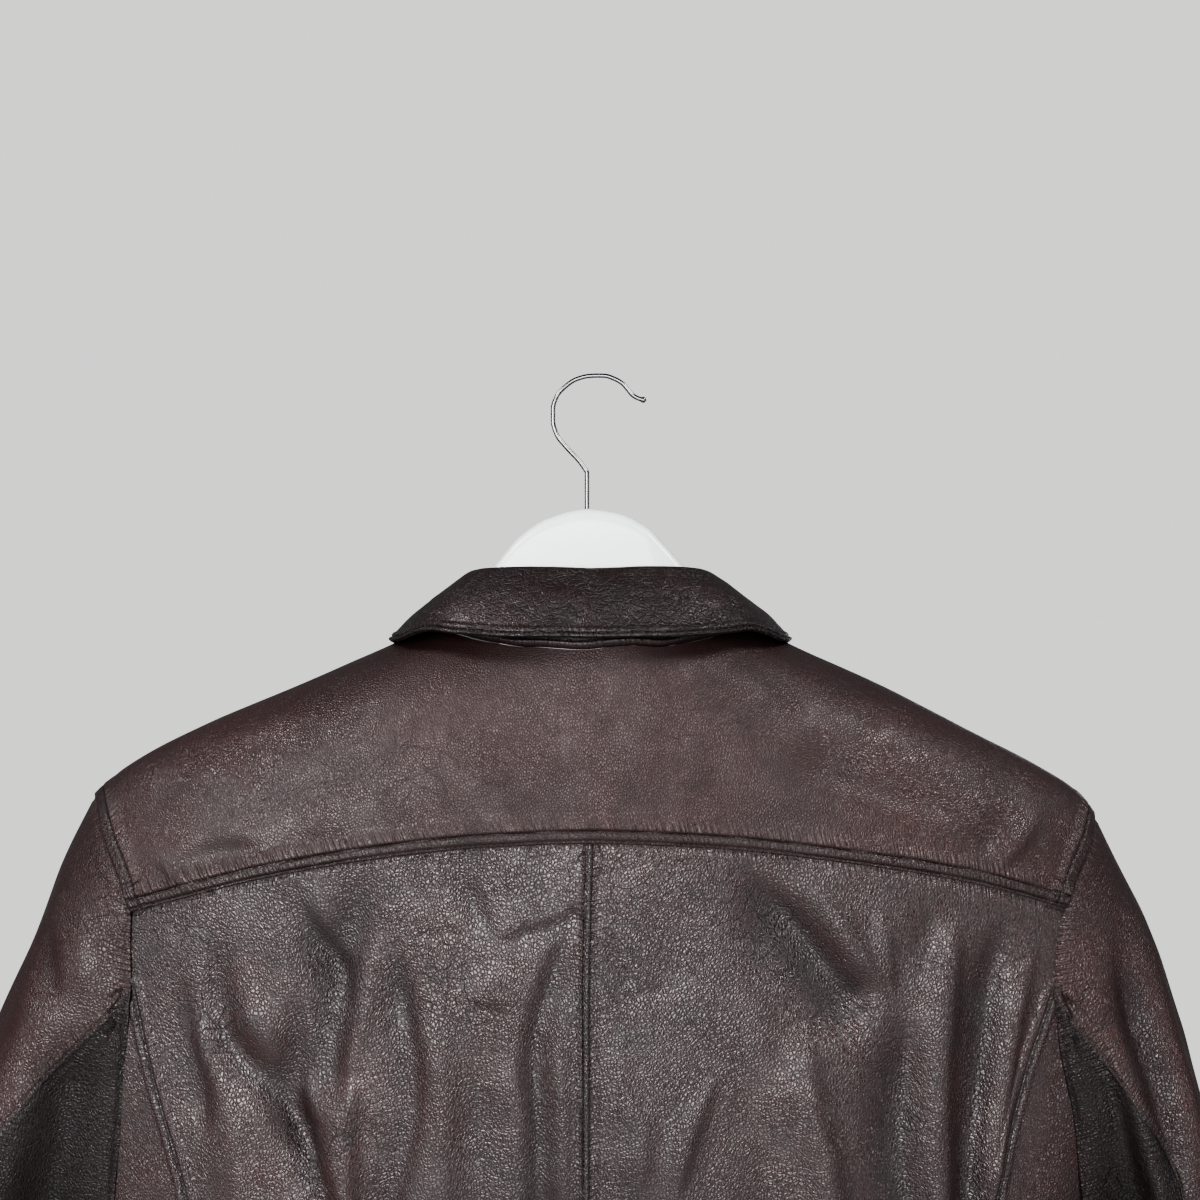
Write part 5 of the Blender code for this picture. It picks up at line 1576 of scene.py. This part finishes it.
def loft(name: str, rings: Floats, material: bpy.types.Material, sharp: float = 50.0) -> bpy.types.Object:
    """Joins closed rings of points into a solid with flat ends.

    Args:
        name: The object's name.
        rings: The rings, each of the same number of points.
        material: Its finish.
        sharp: Edges sharper than this many degrees stay crisp.

    Returns:
        The object.
    """
    count, size = rings.shape[:2]
    ids = np.arange(count * size).reshape(count, size)
    quads = grid_faces(np.concatenate([ids, ids[:, :1]], axis=1))
    points = rings.reshape(-1, 3)
    middles = np.repeat(rings.mean(axis=1), size, axis=0)
    a, b, c = (points[quads[:, k]] for k in (0, 1, 2))
    facing = np.sum(np.cross(b - a, c - b) * (points[quads].mean(axis=1) - middles[quads].mean(axis=1)))
    ends = [ids[0].tolist()[::-1], ids[-1].tolist()]
    faces = quads.tolist() + ends
    if facing < 0:
        faces = [face[::-1] for face in faces]
    return make_mesh(name, points, faces, material, sharp)


FOLD_STATIONS = [
    (0, 0.0, -0.045, -0.1016), (25, 0.030, -0.0435, -0.1006), (50, 0.0535, -0.033, -0.1012),
    (70, 0.0655, -0.017, -0.1060), (90, 0.0700, 0.0, -0.1130), (120, 0.0620, 0.024, -0.1300),
    (150, 0.0380, 0.041, -0.1520), (180, 0.0040, 0.049, -0.1680),
]
FALL_STATIONS = [
    (0, 0.0, -0.0760, -0.1355), (20, 0.036, -0.0735, -0.1352), (40, 0.068, -0.0620, -0.1335),
    (50, 0.0805, -0.0520, -0.1325), (70, 0.0995, -0.0280, -0.1380), (90, 0.1065, 0.0, -0.1388),
    (110, 0.1035, 0.0280, -0.1445), (130, 0.0900, 0.0490, -0.1620), (150, 0.0690, 0.0570, -0.1900),
    (165, 0.0530, 0.0570, -0.2030), (180, 0.0380, 0.0560, -0.2120),
]


def grid_normals(points: Floats, inside: Floats) -> Floats:
    """The directions of a grid of points, turned away from points inside.

    Args:
        points: The grid's points, in rows and columns.
        inside: A point behind each.

    Returns:
        The directions, of length 1.
    """
    normals = np.cross(np.gradient(points, axis=0), np.gradient(points, axis=1))
    normals /= np.linalg.norm(normals, axis=2, keepdims=True)
    return normals * np.sign(np.sum(normals * (points - inside), axis=2, keepdims=True))


@dataclass
class Collar:
    """The collar stand, which rises from the neckline, and the fall, which folds over it."""

    cloth: Cloth
    fold_radius: float = 0.0035
    bulge: float = 0.0025
    stand_gap: float = 3.5 * SEAM_GAP

    def build(self) -> None:
        """Makes both pieces and their stitches."""
        cloth, seams = self.cloth, self.cloth.seams
        torso = cloth.torso
        halves = {}
        for side, own in seams.items():
            centre = torso.at_x(torso.centre_x, NECK_FRONT_V)
            top = torso.at_x(torso.centre_x + side.value * BAND_HALF_WIDTH, NECK_FRONT_V)
            halves[side] = Chain((
                (straight(centre, top), 1), (reverse(own.neck_front), 3), (reverse(own.neck_front_yoke), 2),
                (reverse(own.neck_back), 3),
            ))
        fine = spread([(0.0, 0.002), (0.215, 0.0013)])
        middle = neck_middle(seams).at(spread([(0.0, 0.0013), (0.120, 0.0013)]))
        neck = np.concatenate([
            halves[Side.LEFT].at(fine)[:-1], middle, halves[Side.RIGHT].at(fine)[::-1][1:]])
        base = torso.point(neck)
        base[0, 0] -= SEAM_GAP
        base[-1, 0] += SEAM_GAP
        offset = base - (NECK_X, 0.0, 0.0)
        turn = np.degrees(np.arctan2(offset[:, 0], -offset[:, 1] * NECK_HALF_WIDTH / 0.062))
        turn[0], turn[-1] = -180.0, 180.0
        fold, edge = (self.around(stations, turn) for stations in (FOLD_STATIONS, FALL_STATIONS))
        outward = (edge - fold) * (1, 1, 0)
        outward /= np.linalg.norm(outward, axis=1, keepdims=True)
        up = np.array([0.0, 0.0, 1.0])
        self.make_stand(base, fold, outward, up)
        self.make_fall(fold, edge, outward, up)

    @staticmethod
    def around(stations: Sequence[tuple[float, ...]], turn: Floats) -> Floats:
        """Places points round the neck from stations that are mirrored about its centre.

        Args:
            stations: Rows of an angle in degrees, and x, y and z there.
            turn: The angles of the points, from -180 to 180.

        Returns:
            One point for each angle.
        """
        angles, *columns = zip(*stations)
        x, y, z = (Graph(zip(angles, column))(np.abs(turn)) for column in columns)
        return np.stack([NECK_X + np.sign(turn) * x, y, z], axis=1)

    def make_stand(self, base: Floats, fold: Floats, outward: Floats, up: Floats) -> None:
        """Makes the stand, whose foot shows as a narrow crescent under the fall.

        Args:
            base: The neckline's points.
            fold: The points of the fold line above them.
            outward: The level direction away from the neck at each.
            up: The upward direction.
        """
        top = fold - outward * (self.fold_radius - WALL) - up * (self.fold_radius + self.stand_gap)
        foot = base - outward * SEAM_GAP + up * SEAM_GAP
        steps = spread([(0.0, 0.0005), (0.010, 0.0006), (0.014, 0.002), (0.040, 0.003)])
        grid = foot + (top - foot) * steps[:, None, None]
        inside = np.where([1, 1, 0], np.array([NECK_X, 0.0, 0.0]), grid) - (0.0, 0.0, 0.05)
        band = SeamBand(foot, rise=0.0034, width=0.0080, rows=(0.0034,), seed=41, reach=0.003, roll=0.0014,
                        fade=0.012, groove=0.0011)
        sheet = Sheet.on(grid, grid_normals(grid, inside), [self.cloth.small], [band])
        sheet.lift *= smooth(np.clip((len(steps) - np.arange(len(steps))) / 8, 0, 1))[:, None]
        self.cloth.thread.row(sheet.inset("top", 0.0040))
        self.cloth.piece("collar_stand", [sheet], (0.40, 0.045), 0.0157, ["back_yoke_leather"], "rubbed",
                         grain=0.5, wear=0.2)

    def make_fall(self, fold: Floats, edge: Floats, outward: Floats, up: Floats) -> None:
        """Makes the fall: the roll over the stand, the bulging leaf and its sewn edge.

        Args:
            fold: The fold line's points.
            edge: The points of the fall's sewn edge.
            outward: The level direction away from the neck at each.
            up: The upward direction.
        """
        half = [(-1.0, -1.0), (-0.93, -0.62), (-0.75, -0.3), (-0.42, -0.07), (0.0, 0.0), (0.45, -0.08),
                (0.9, -0.35)]
        rows = [fold + (outward * out + up * rise) * self.fold_radius for out, rise in half]
        steps = spread([(0.0, 0.0014), (0.030, 0.0014), (0.036, 0.0005), (0.045, 0.0004)])[1:, None, None]
        start = rows[-1]
        leaf = start + (edge - start) * steps
        leaf = leaf + (outward * 0.6 + up * 0.8) * self.bulge * np.sin(math.pi * steps)
        grid = np.concatenate([np.stack(rows), leaf])
        core = np.broadcast_to(fold - up * self.fold_radius, grid.shape).copy()
        core[len(rows):] = leaf - (outward * 0.6 + up * 0.8)
        normals = grid_normals(grid, core)
        band = SeamBand(edge, rise=0.0007, width=0.0042, rows=(0.0021,), gather=0.4, seed=43, reach=0.004,
                        roll=0.0010, groove=0.0011, groove_width=0.0005)
        creases = Ripple(Noise(47, (0.010, 0.010, 0.004)), 0.0003)
        sheet = Sheet.on(grid, normals, [self.cloth.small, creases], [band])
        inner_fade = np.clip(np.arange(len(grid)) / 6, 0.0, 1.0)[:, None]
        sheet.lift *= inner_fade
        self.cloth.thread.row(sheet.inset("bottom", 0.0021))
        # Painted shade: the shade value darkens the fall's colour.
        self.cloth.piece("collar_fall", [sheet], (0.50, 0.075), 0.0249, ["collar_stand_leather"], "rubbed",
                         wear=0.35, grain=0.6, crease=0.0, shade=0.5, wrinkle=1.0)


SLEEVE_INNER_STEP = [(0.0, 0.0), (-0.009, -0.005), (-0.012, -0.050), (-0.019, -0.130), (-0.025, -0.230),
                     (-0.029, -0.350)]


@dataclass
class Sleeve:
    """The upper and under sleeve: rings that turn from the armhole's shape into ovals."""

    cloth: Cloth
    side: Side
    half_depth: Graph = field(default_factory=lambda: Graph(
        [(0.0, 0.050), (0.25, 0.060), (0.5, 0.056), (0.75, 0.048), (1.0, 0.041)]))
    middle_y: Graph = field(default_factory=lambda: Graph([(0.0, -0.009), (0.4, -0.004), (1.0, 0.010)]))
    head: float = 0.22
    even_share: float = 0.15
    lag: float = 2.3
    seam_row: float = 0.0022

    def rings(self, place: Floats, around: Floats) -> tuple[Floats, Floats, Floats]:
        """Lays rings down the sleeve.

        Args:
            place: The fraction of the length of each ring.
            around: The fraction of the armhole of each column.

        Returns:
            The points, the middle of each ring, and the angle of each column.
        """
        own, torso, sign = self.cloth.seams[self.side], self.cloth.torso, self.side.value
        start = torso.point(own.armhole.at(around % 1.0))
        underarm = torso.point(torso.at_side(self.side, torso.underarm_z))[[0, 2]]
        inner_line = SmoothLine([underarm + (-sign * dx, dz) for dx, dz in SLEEVE_INNER_STEP])
        lagged = self.even_share * place + (1 - self.even_share) * place ** self.lag
        outer, inner = SmoothLine(own.cut.sleeve_outer).at(place), inner_line.at(lagged)
        centre, reach = (outer + inner) / 2, (outer - inner) / 2
        depth, middle = self.half_depth(place), self.middle_y(place)
        cosine = (start[:, [0, 2]] - centre[0]) @ reach[0] / (reach[0] @ reach[0])
        angle = np.arctan2(-(start[:, 1] - middle[0]) / depth[0], cosine)
        held = smooth(place / self.head)
        turned = angle[None] + own.cut.sleeve_twist * held[:, None]
        flat = centre[:, None] + reach[:, None] * np.cos(turned)[..., None]
        away = middle[:, None] - depth[:, None] * np.sin(turned)
        rings = np.stack([flat[..., 0], away, flat[..., 1]], axis=-1)
        rings = rings + (1 - held)[:, None, None] * (start - rings[0])
        rings[0, :, 0] += sign * SEAM_GAP
        return rings, np.stack([centre[:, 0], middle, centre[:, 1]], axis=1)[:, None], angle

    def build(self) -> None:
        """Makes both sleeve pieces and their stitches."""
        cloth, own = self.cloth, self.cloth.seams[self.side]
        place = spread([(0.0, 0.0012), (0.010, 0.0022), (0.24, 0.0022), (0.29, 0.006), (0.600, 0.006),
                        (0.612, 0.002)])
        word = self.side.word
        fine = spread([(0.0, 0.0008), (0.006, 0.0010), (0.012, 0.0028), (0.128, 0.0028), (0.134, 0.0010),
                       (0.140, 0.0008)])
        hole = cloth.edge(own.armhole, 500)
        for name, first, last, flat, area in (
                ("upper", 22 - 27, 10, (0.22, 0.63), 0.085), ("under", 10, 22, (0.17, 0.50), 0.070)):
            around = (first + (last - first) * fine) / 27
            step = 1 / 27 / 10
            wide = np.concatenate([[around[0] - step], around, [around[-1] + step]])
            points, middles, angle = self.rings(place, wide)
            normals = grid_normals(points, middles)[:, 1:-1]
            points, angle = points[:, 1:-1], angle[1:-1]
            shared = cloth.torso.normal(own.armhole.at(around % 1.0))
            weight = smooth((np.cos(angle) + 0.5) / 0.4)[:, None]
            mixed = shared * weight + normals[0] * (1 - weight)
            normals[0] = mixed / np.linalg.norm(mixed, axis=1, keepdims=True)
            bands = [SeamBand(hole, rise=-0.0005, width=0.002, reach=0.007, seed=51)]
            for column, seed in ((0, 53), (-1, 55)):
                bands.append(SeamBand(points[:, column], rise=0.0004, width=0.0030, rows=(self.seam_row,),
                                      reach=0.0035, seed=seed))
            sheet = Sheet.on(points, normals, [], bands)
            flat_points = points.reshape(-1, 3)
            folds = sum(fold.height(flat_points) for fold in SLEEVE_FOLDS[self.side])
            folds *= np.clip(-flat_points[:, 1] / 0.02, 0.0, 1.0)
            folds += sum(ripple.height(flat_points) for ripple in (cloth.soft, cloth.drape, cloth.small))
            sheet.fold = folds.reshape(points.shape[:2]) * smooth(place / 0.12)[:, None]
            sheet.lift = sheet.lift + sheet.fold
            if name == "upper":
                for edge in ("left", "right"):
                    cloth.thread.row(sheet.inset(edge, self.seam_row))
            cloth.thread.row(sheet.inset("bottom", HEM_ROW))
            # The under sleeve gets painted shade: the less glossy shaded leather and a colour darkened by the
            # shade value, in place of the shadow it lies in.
            finish, tones = ("rubbed", {"wear": 0.4}) if name == "upper" else ("shaded", {"shade": 0.65})
            cloth.piece(f"sleeve_{name}_{word}", [sheet], flat, area, ["back_yoke_leather"], finish, **tones)


@dataclass
class Hanger:
    """The flat hanger with its wire hook."""

    torso: Torso
    finishes: Finishes
    half_thick: float = 0.007
    neck_x: float = 0.105
    clearance: float = 0.0005
    wire: float = 0.0012
    stem_x: float = -0.0053
    stem_depth: float = 0.011
    ball: float = 0.0017
    slope_step: float = 0.004
    tips: tuple[float, float] = (-0.2150, 0.2130)
    top_points: tuple = (
        (-0.0900, -0.1366), (-0.0690, -0.1180), (-0.0535, -0.0985), (-0.0408, -0.0838), (-0.0260, -0.0743),
        (-0.0053, -0.0694), (0.0111, -0.0716), (0.0265, -0.0790), (0.0366, -0.0891), (0.0450, -0.0986),
        (0.0620, -0.1180), (0.0850, -0.1372))
    heights: tuple = (
        (0.0, 0.058), (0.045, 0.046), (0.10, 0.036), (0.19, 0.025), (0.211, 0.018), (0.2155, 0.008))
    path: tuple = (
        (-0.0053, -0.0499), (-0.0090, -0.0446), (-0.0164, -0.0366), (-0.0212, -0.0303), (-0.0233, -0.0228),
        (-0.0233, -0.0165), (-0.0212, -0.0096), (-0.0164, -0.0043), (-0.0111, -0.0008), (-0.0042, 0.0010),
        (0.0, 0.0012), (0.0042, 0.0011), (0.0090, -0.0004), (0.0133, -0.0028), (0.0164, -0.0062),
        (0.0191, -0.0093), (0.0228, -0.0112), (0.0262, -0.0120))

    def top(self, x: Floats) -> Floats:
        """The height of the body's top edge.

        Args:
            x: Where it is read, from side to side.

        Returns:
            The height at each.
        """
        step = self.slope_step

        def arm(at: Floats) -> Floats:
            """The height of an arm, which clears the leather over it."""
            slope = (self.torso.ridge(at + step) - self.torso.ridge(at - step)) / (2 * step)
            return self.torso.ridge(at) - (WALL + self.clearance) * np.hypot(1.0, slope)

        start, end = ((at, float(arm(np.array(at)))) for at in (-self.neck_x, self.neck_x))
        neck = Graph([start, *self.top_points, end])
        return np.where(np.abs(x) < self.neck_x, neck(x), arm(x))

    def build(self) -> None:
        """Makes the body and the hook."""
        x = np.concatenate([
            np.linspace(self.tips[0], -0.1, 40)[:-1],
            np.linspace(-0.1, 0.1, 160),
            np.linspace(0.1, self.tips[1], 40)[1:],
        ])
        top, height = self.top(x), Graph(self.heights)(np.abs(x))
        thick = np.minimum(self.half_thick, height / 2 - 0.0005)
        turns = np.concatenate([np.linspace(0, math.pi, 15), np.linspace(math.pi, 2 * math.pi, 15)])
        middle = np.where(np.arange(30) < 15, (top - thick)[:, None], (top - height + thick)[:, None])
        rings = np.stack([
            np.broadcast_to(x[:, None], middle.shape), thick[:, None] * np.cos(turns),
            middle + thick[:, None] * np.sin(turns)], axis=-1)
        carry(loft("hanger_body_painted", rings, self.finishes.hanger, 60.0), "hanger_wood", "hanger_body")
        foot = float(self.top(np.array(self.stem_x))) - self.stem_depth
        stem = np.linspace((self.stem_x, foot), self.path[0], 12)[:-1]
        line = np.concatenate([stem, SmoothLine(self.path).at(np.linspace(0.0, 1.0, 150))])
        size = np.full(len(line), self.wire)
        strides = np.linalg.norm(np.diff(line[::-1], axis=0), axis=1)
        from_end = np.concatenate([np.cumsum(strides)[::-1], [0.0]])
        ball = self.ball
        near = from_end < 2 * ball
        size[near] = np.maximum(np.sqrt(np.maximum(ball ** 2 - (from_end[near] - ball) ** 2, 1e-8)),
                                np.where(from_end[near] > ball, self.wire, 0.0))
        way = np.gradient(line, axis=0)
        way /= np.linalg.norm(way, axis=1, keepdims=True)
        turns = np.linspace(0.0, 2 * math.pi, 21)[:-1]
        across = np.stack([-way[:, 1], np.zeros(len(way)), way[:, 0]], axis=1)
        centre = np.stack([line[:, 0], np.zeros(len(line)), line[:, 1]], axis=1)
        rings = centre[:, None] + size[:, None, None] * (
            across[:, None] * np.cos(turns)[:, None] + np.array([0.0, 1.0, 0.0]) * np.sin(turns)[:, None])
        carry(loft("hanger_hook_wire", rings, self.finishes.chrome, 60.0), "chrome", "hanger_hook")


@dataclass(frozen=True)
class Light:
    """A soft square lamp that points at a target."""

    name: str
    place: tuple[float, float, float]
    target: tuple[float, float, float]
    size: tuple[float, float]
    power: float
    colour: tuple[float, float, float] = (1.0, 1.0, 1.0)

    def make(self) -> None:
        """Adds the lamp to the scene."""
        lamp = bpy.data.lights.new(self.name, "AREA")
        lamp.shape, lamp.size, lamp.size_y = "RECTANGLE", *self.size
        lamp.energy, lamp.color = self.power, self.colour
        made = bpy.data.objects.new(self.name, lamp)
        made.location = self.place
        made.rotation_euler = (Vector(self.target) - Vector(self.place)).to_track_quat("-Z", "Y").to_euler()
        bpy.context.scene.collection.objects.link(made)


@dataclass
class Studio:
    """The camera, the lamps, the pale world and the floor."""

    eye: tuple[float, float, float] = (0.0016, -0.915, -0.1177)
    lens: float = 51.8
    floor_z: float = -1.25
    floor_half: float = 1.7
    backdrop: tuple = (0.75, 0.76, 0.74, 1.0)
    sky: tuple = (0.18, 0.19, 0.20, 1.0)
    lights: tuple[Light, ...] = (
        Light("front_softbox", (-0.42, -1.65, 0.06), (0.0, 0.0, -0.28), (1.3, 0.6), 44.0),
        Light("low_softbox", (0.0, -1.60, -0.85), (0.0, 0.0, -0.20), (1.2, 0.5), 8.0),
        Light("upper_left_softbox", (-0.95, -0.45, 0.80), (-0.15, 0.0, -0.2), (0.6, 0.35), 15.0),
        Light("upper_right_softbox", (0.90, -0.45, 0.75), (0.15, 0.0, -0.2), (0.6, 0.35), 15.0),
        Light("left_strip", (-1.30, -0.65, -0.35), (-0.25, 0.0, -0.4), (0.22, 1.2), 5.0),
        Light("right_strip", (1.30, -0.65, -0.35), (0.25, 0.0, -0.4), (0.22, 1.2), 5.0),
        Light("rear_fill", (0.3, 1.7, -0.5), (0.0, 0.0, -0.4), (1.4, 1.0), 5.0),
    )

    def build(self) -> None:
        """Makes the camera first, then the rest."""
        scene = bpy.context.scene
        scene.view_settings.look = "AgX - High Contrast"
        camera = bpy.data.cameras.new("camera")
        camera.lens, camera.sensor_width = self.lens, 36.0
        camera.clip_start = 0.01
        made = bpy.data.objects.new("camera", camera)
        made.location = self.eye
        made.rotation_euler = (HALF_TURN, 0.0, 0.0)
        scene.collection.objects.link(made)
        scene.camera = made
        for light in self.lights:
            light.make()
        self.make_world(scene)
        self.make_floor()

    def make_world(self, scene: bpy.types.Scene) -> None:
        """A pale world: one tone where the camera sees it, and a dimmer one that lights the object.

        Args:
            scene: The scene that gets it.
        """
        world = bpy.data.worlds.new("world")
        world.use_nodes = True
        tree = world.node_tree
        back = tree.nodes["Background"]
        back.inputs["Color"].default_value = self.sky
        seen = tree.nodes.new("ShaderNodeBackground")
        seen.inputs["Color"].default_value = self.backdrop
        paths, mix = tree.nodes.new("ShaderNodeLightPath"), tree.nodes.new("ShaderNodeMixShader")
        tree.links.new(paths.outputs["Is Camera Ray"], mix.inputs[0])
        tree.links.new(back.outputs[0], mix.inputs[1])
        tree.links.new(seen.outputs[0], mix.inputs[2])
        tree.links.new(mix.outputs[0], tree.nodes["World Output"].inputs["Surface"])
        scene.world = world

    def make_floor(self) -> None:
        """A plain pale floor far below the jacket."""
        size = self.floor_half
        corners = ((-1, -1), (1, -1), (1, 1), (-1, 1))
        points = np.array([(across * size, along * size, self.floor_z) for across, along in corners])
        material = PlainFinish("floor", (0.62, 0.62, 0.61, 1.0), 0.7).make()
        make_mesh("floor", points, [(0, 1, 2, 3)], material)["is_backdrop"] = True


def main() -> None:
    """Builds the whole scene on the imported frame."""
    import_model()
    cad_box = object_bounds()
    Studio().build()
    torso = Torso()
    seams = {side: Seams(side, torso) for side in Side}
    finishes = Finishes()
    cloth = Cloth(torso, seams, finishes, Thread(finishes.thread))
    Yoke(cloth).build()
    strips = {}
    for side in Side:
        BackPanels(cloth, side).build()
        strips[side] = FrontPanel(cloth, side).build()
        Sleeve(cloth, side).build()
    ButtonBand(cloth).build(strips)
    Collar(cloth).build()
    carry(cloth.thread.make(), "leather")
    Hanger(torso, finishes).build()
    boxes = {"cad": cad_box, "visual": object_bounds()}
    plain = {name: [[float(value) for value in corner] for corner in box] for name, box in boxes.items()}


if __name__ == "__main__":
    logging.basicConfig(level=logging.INFO, format="%(message)s")
    main()
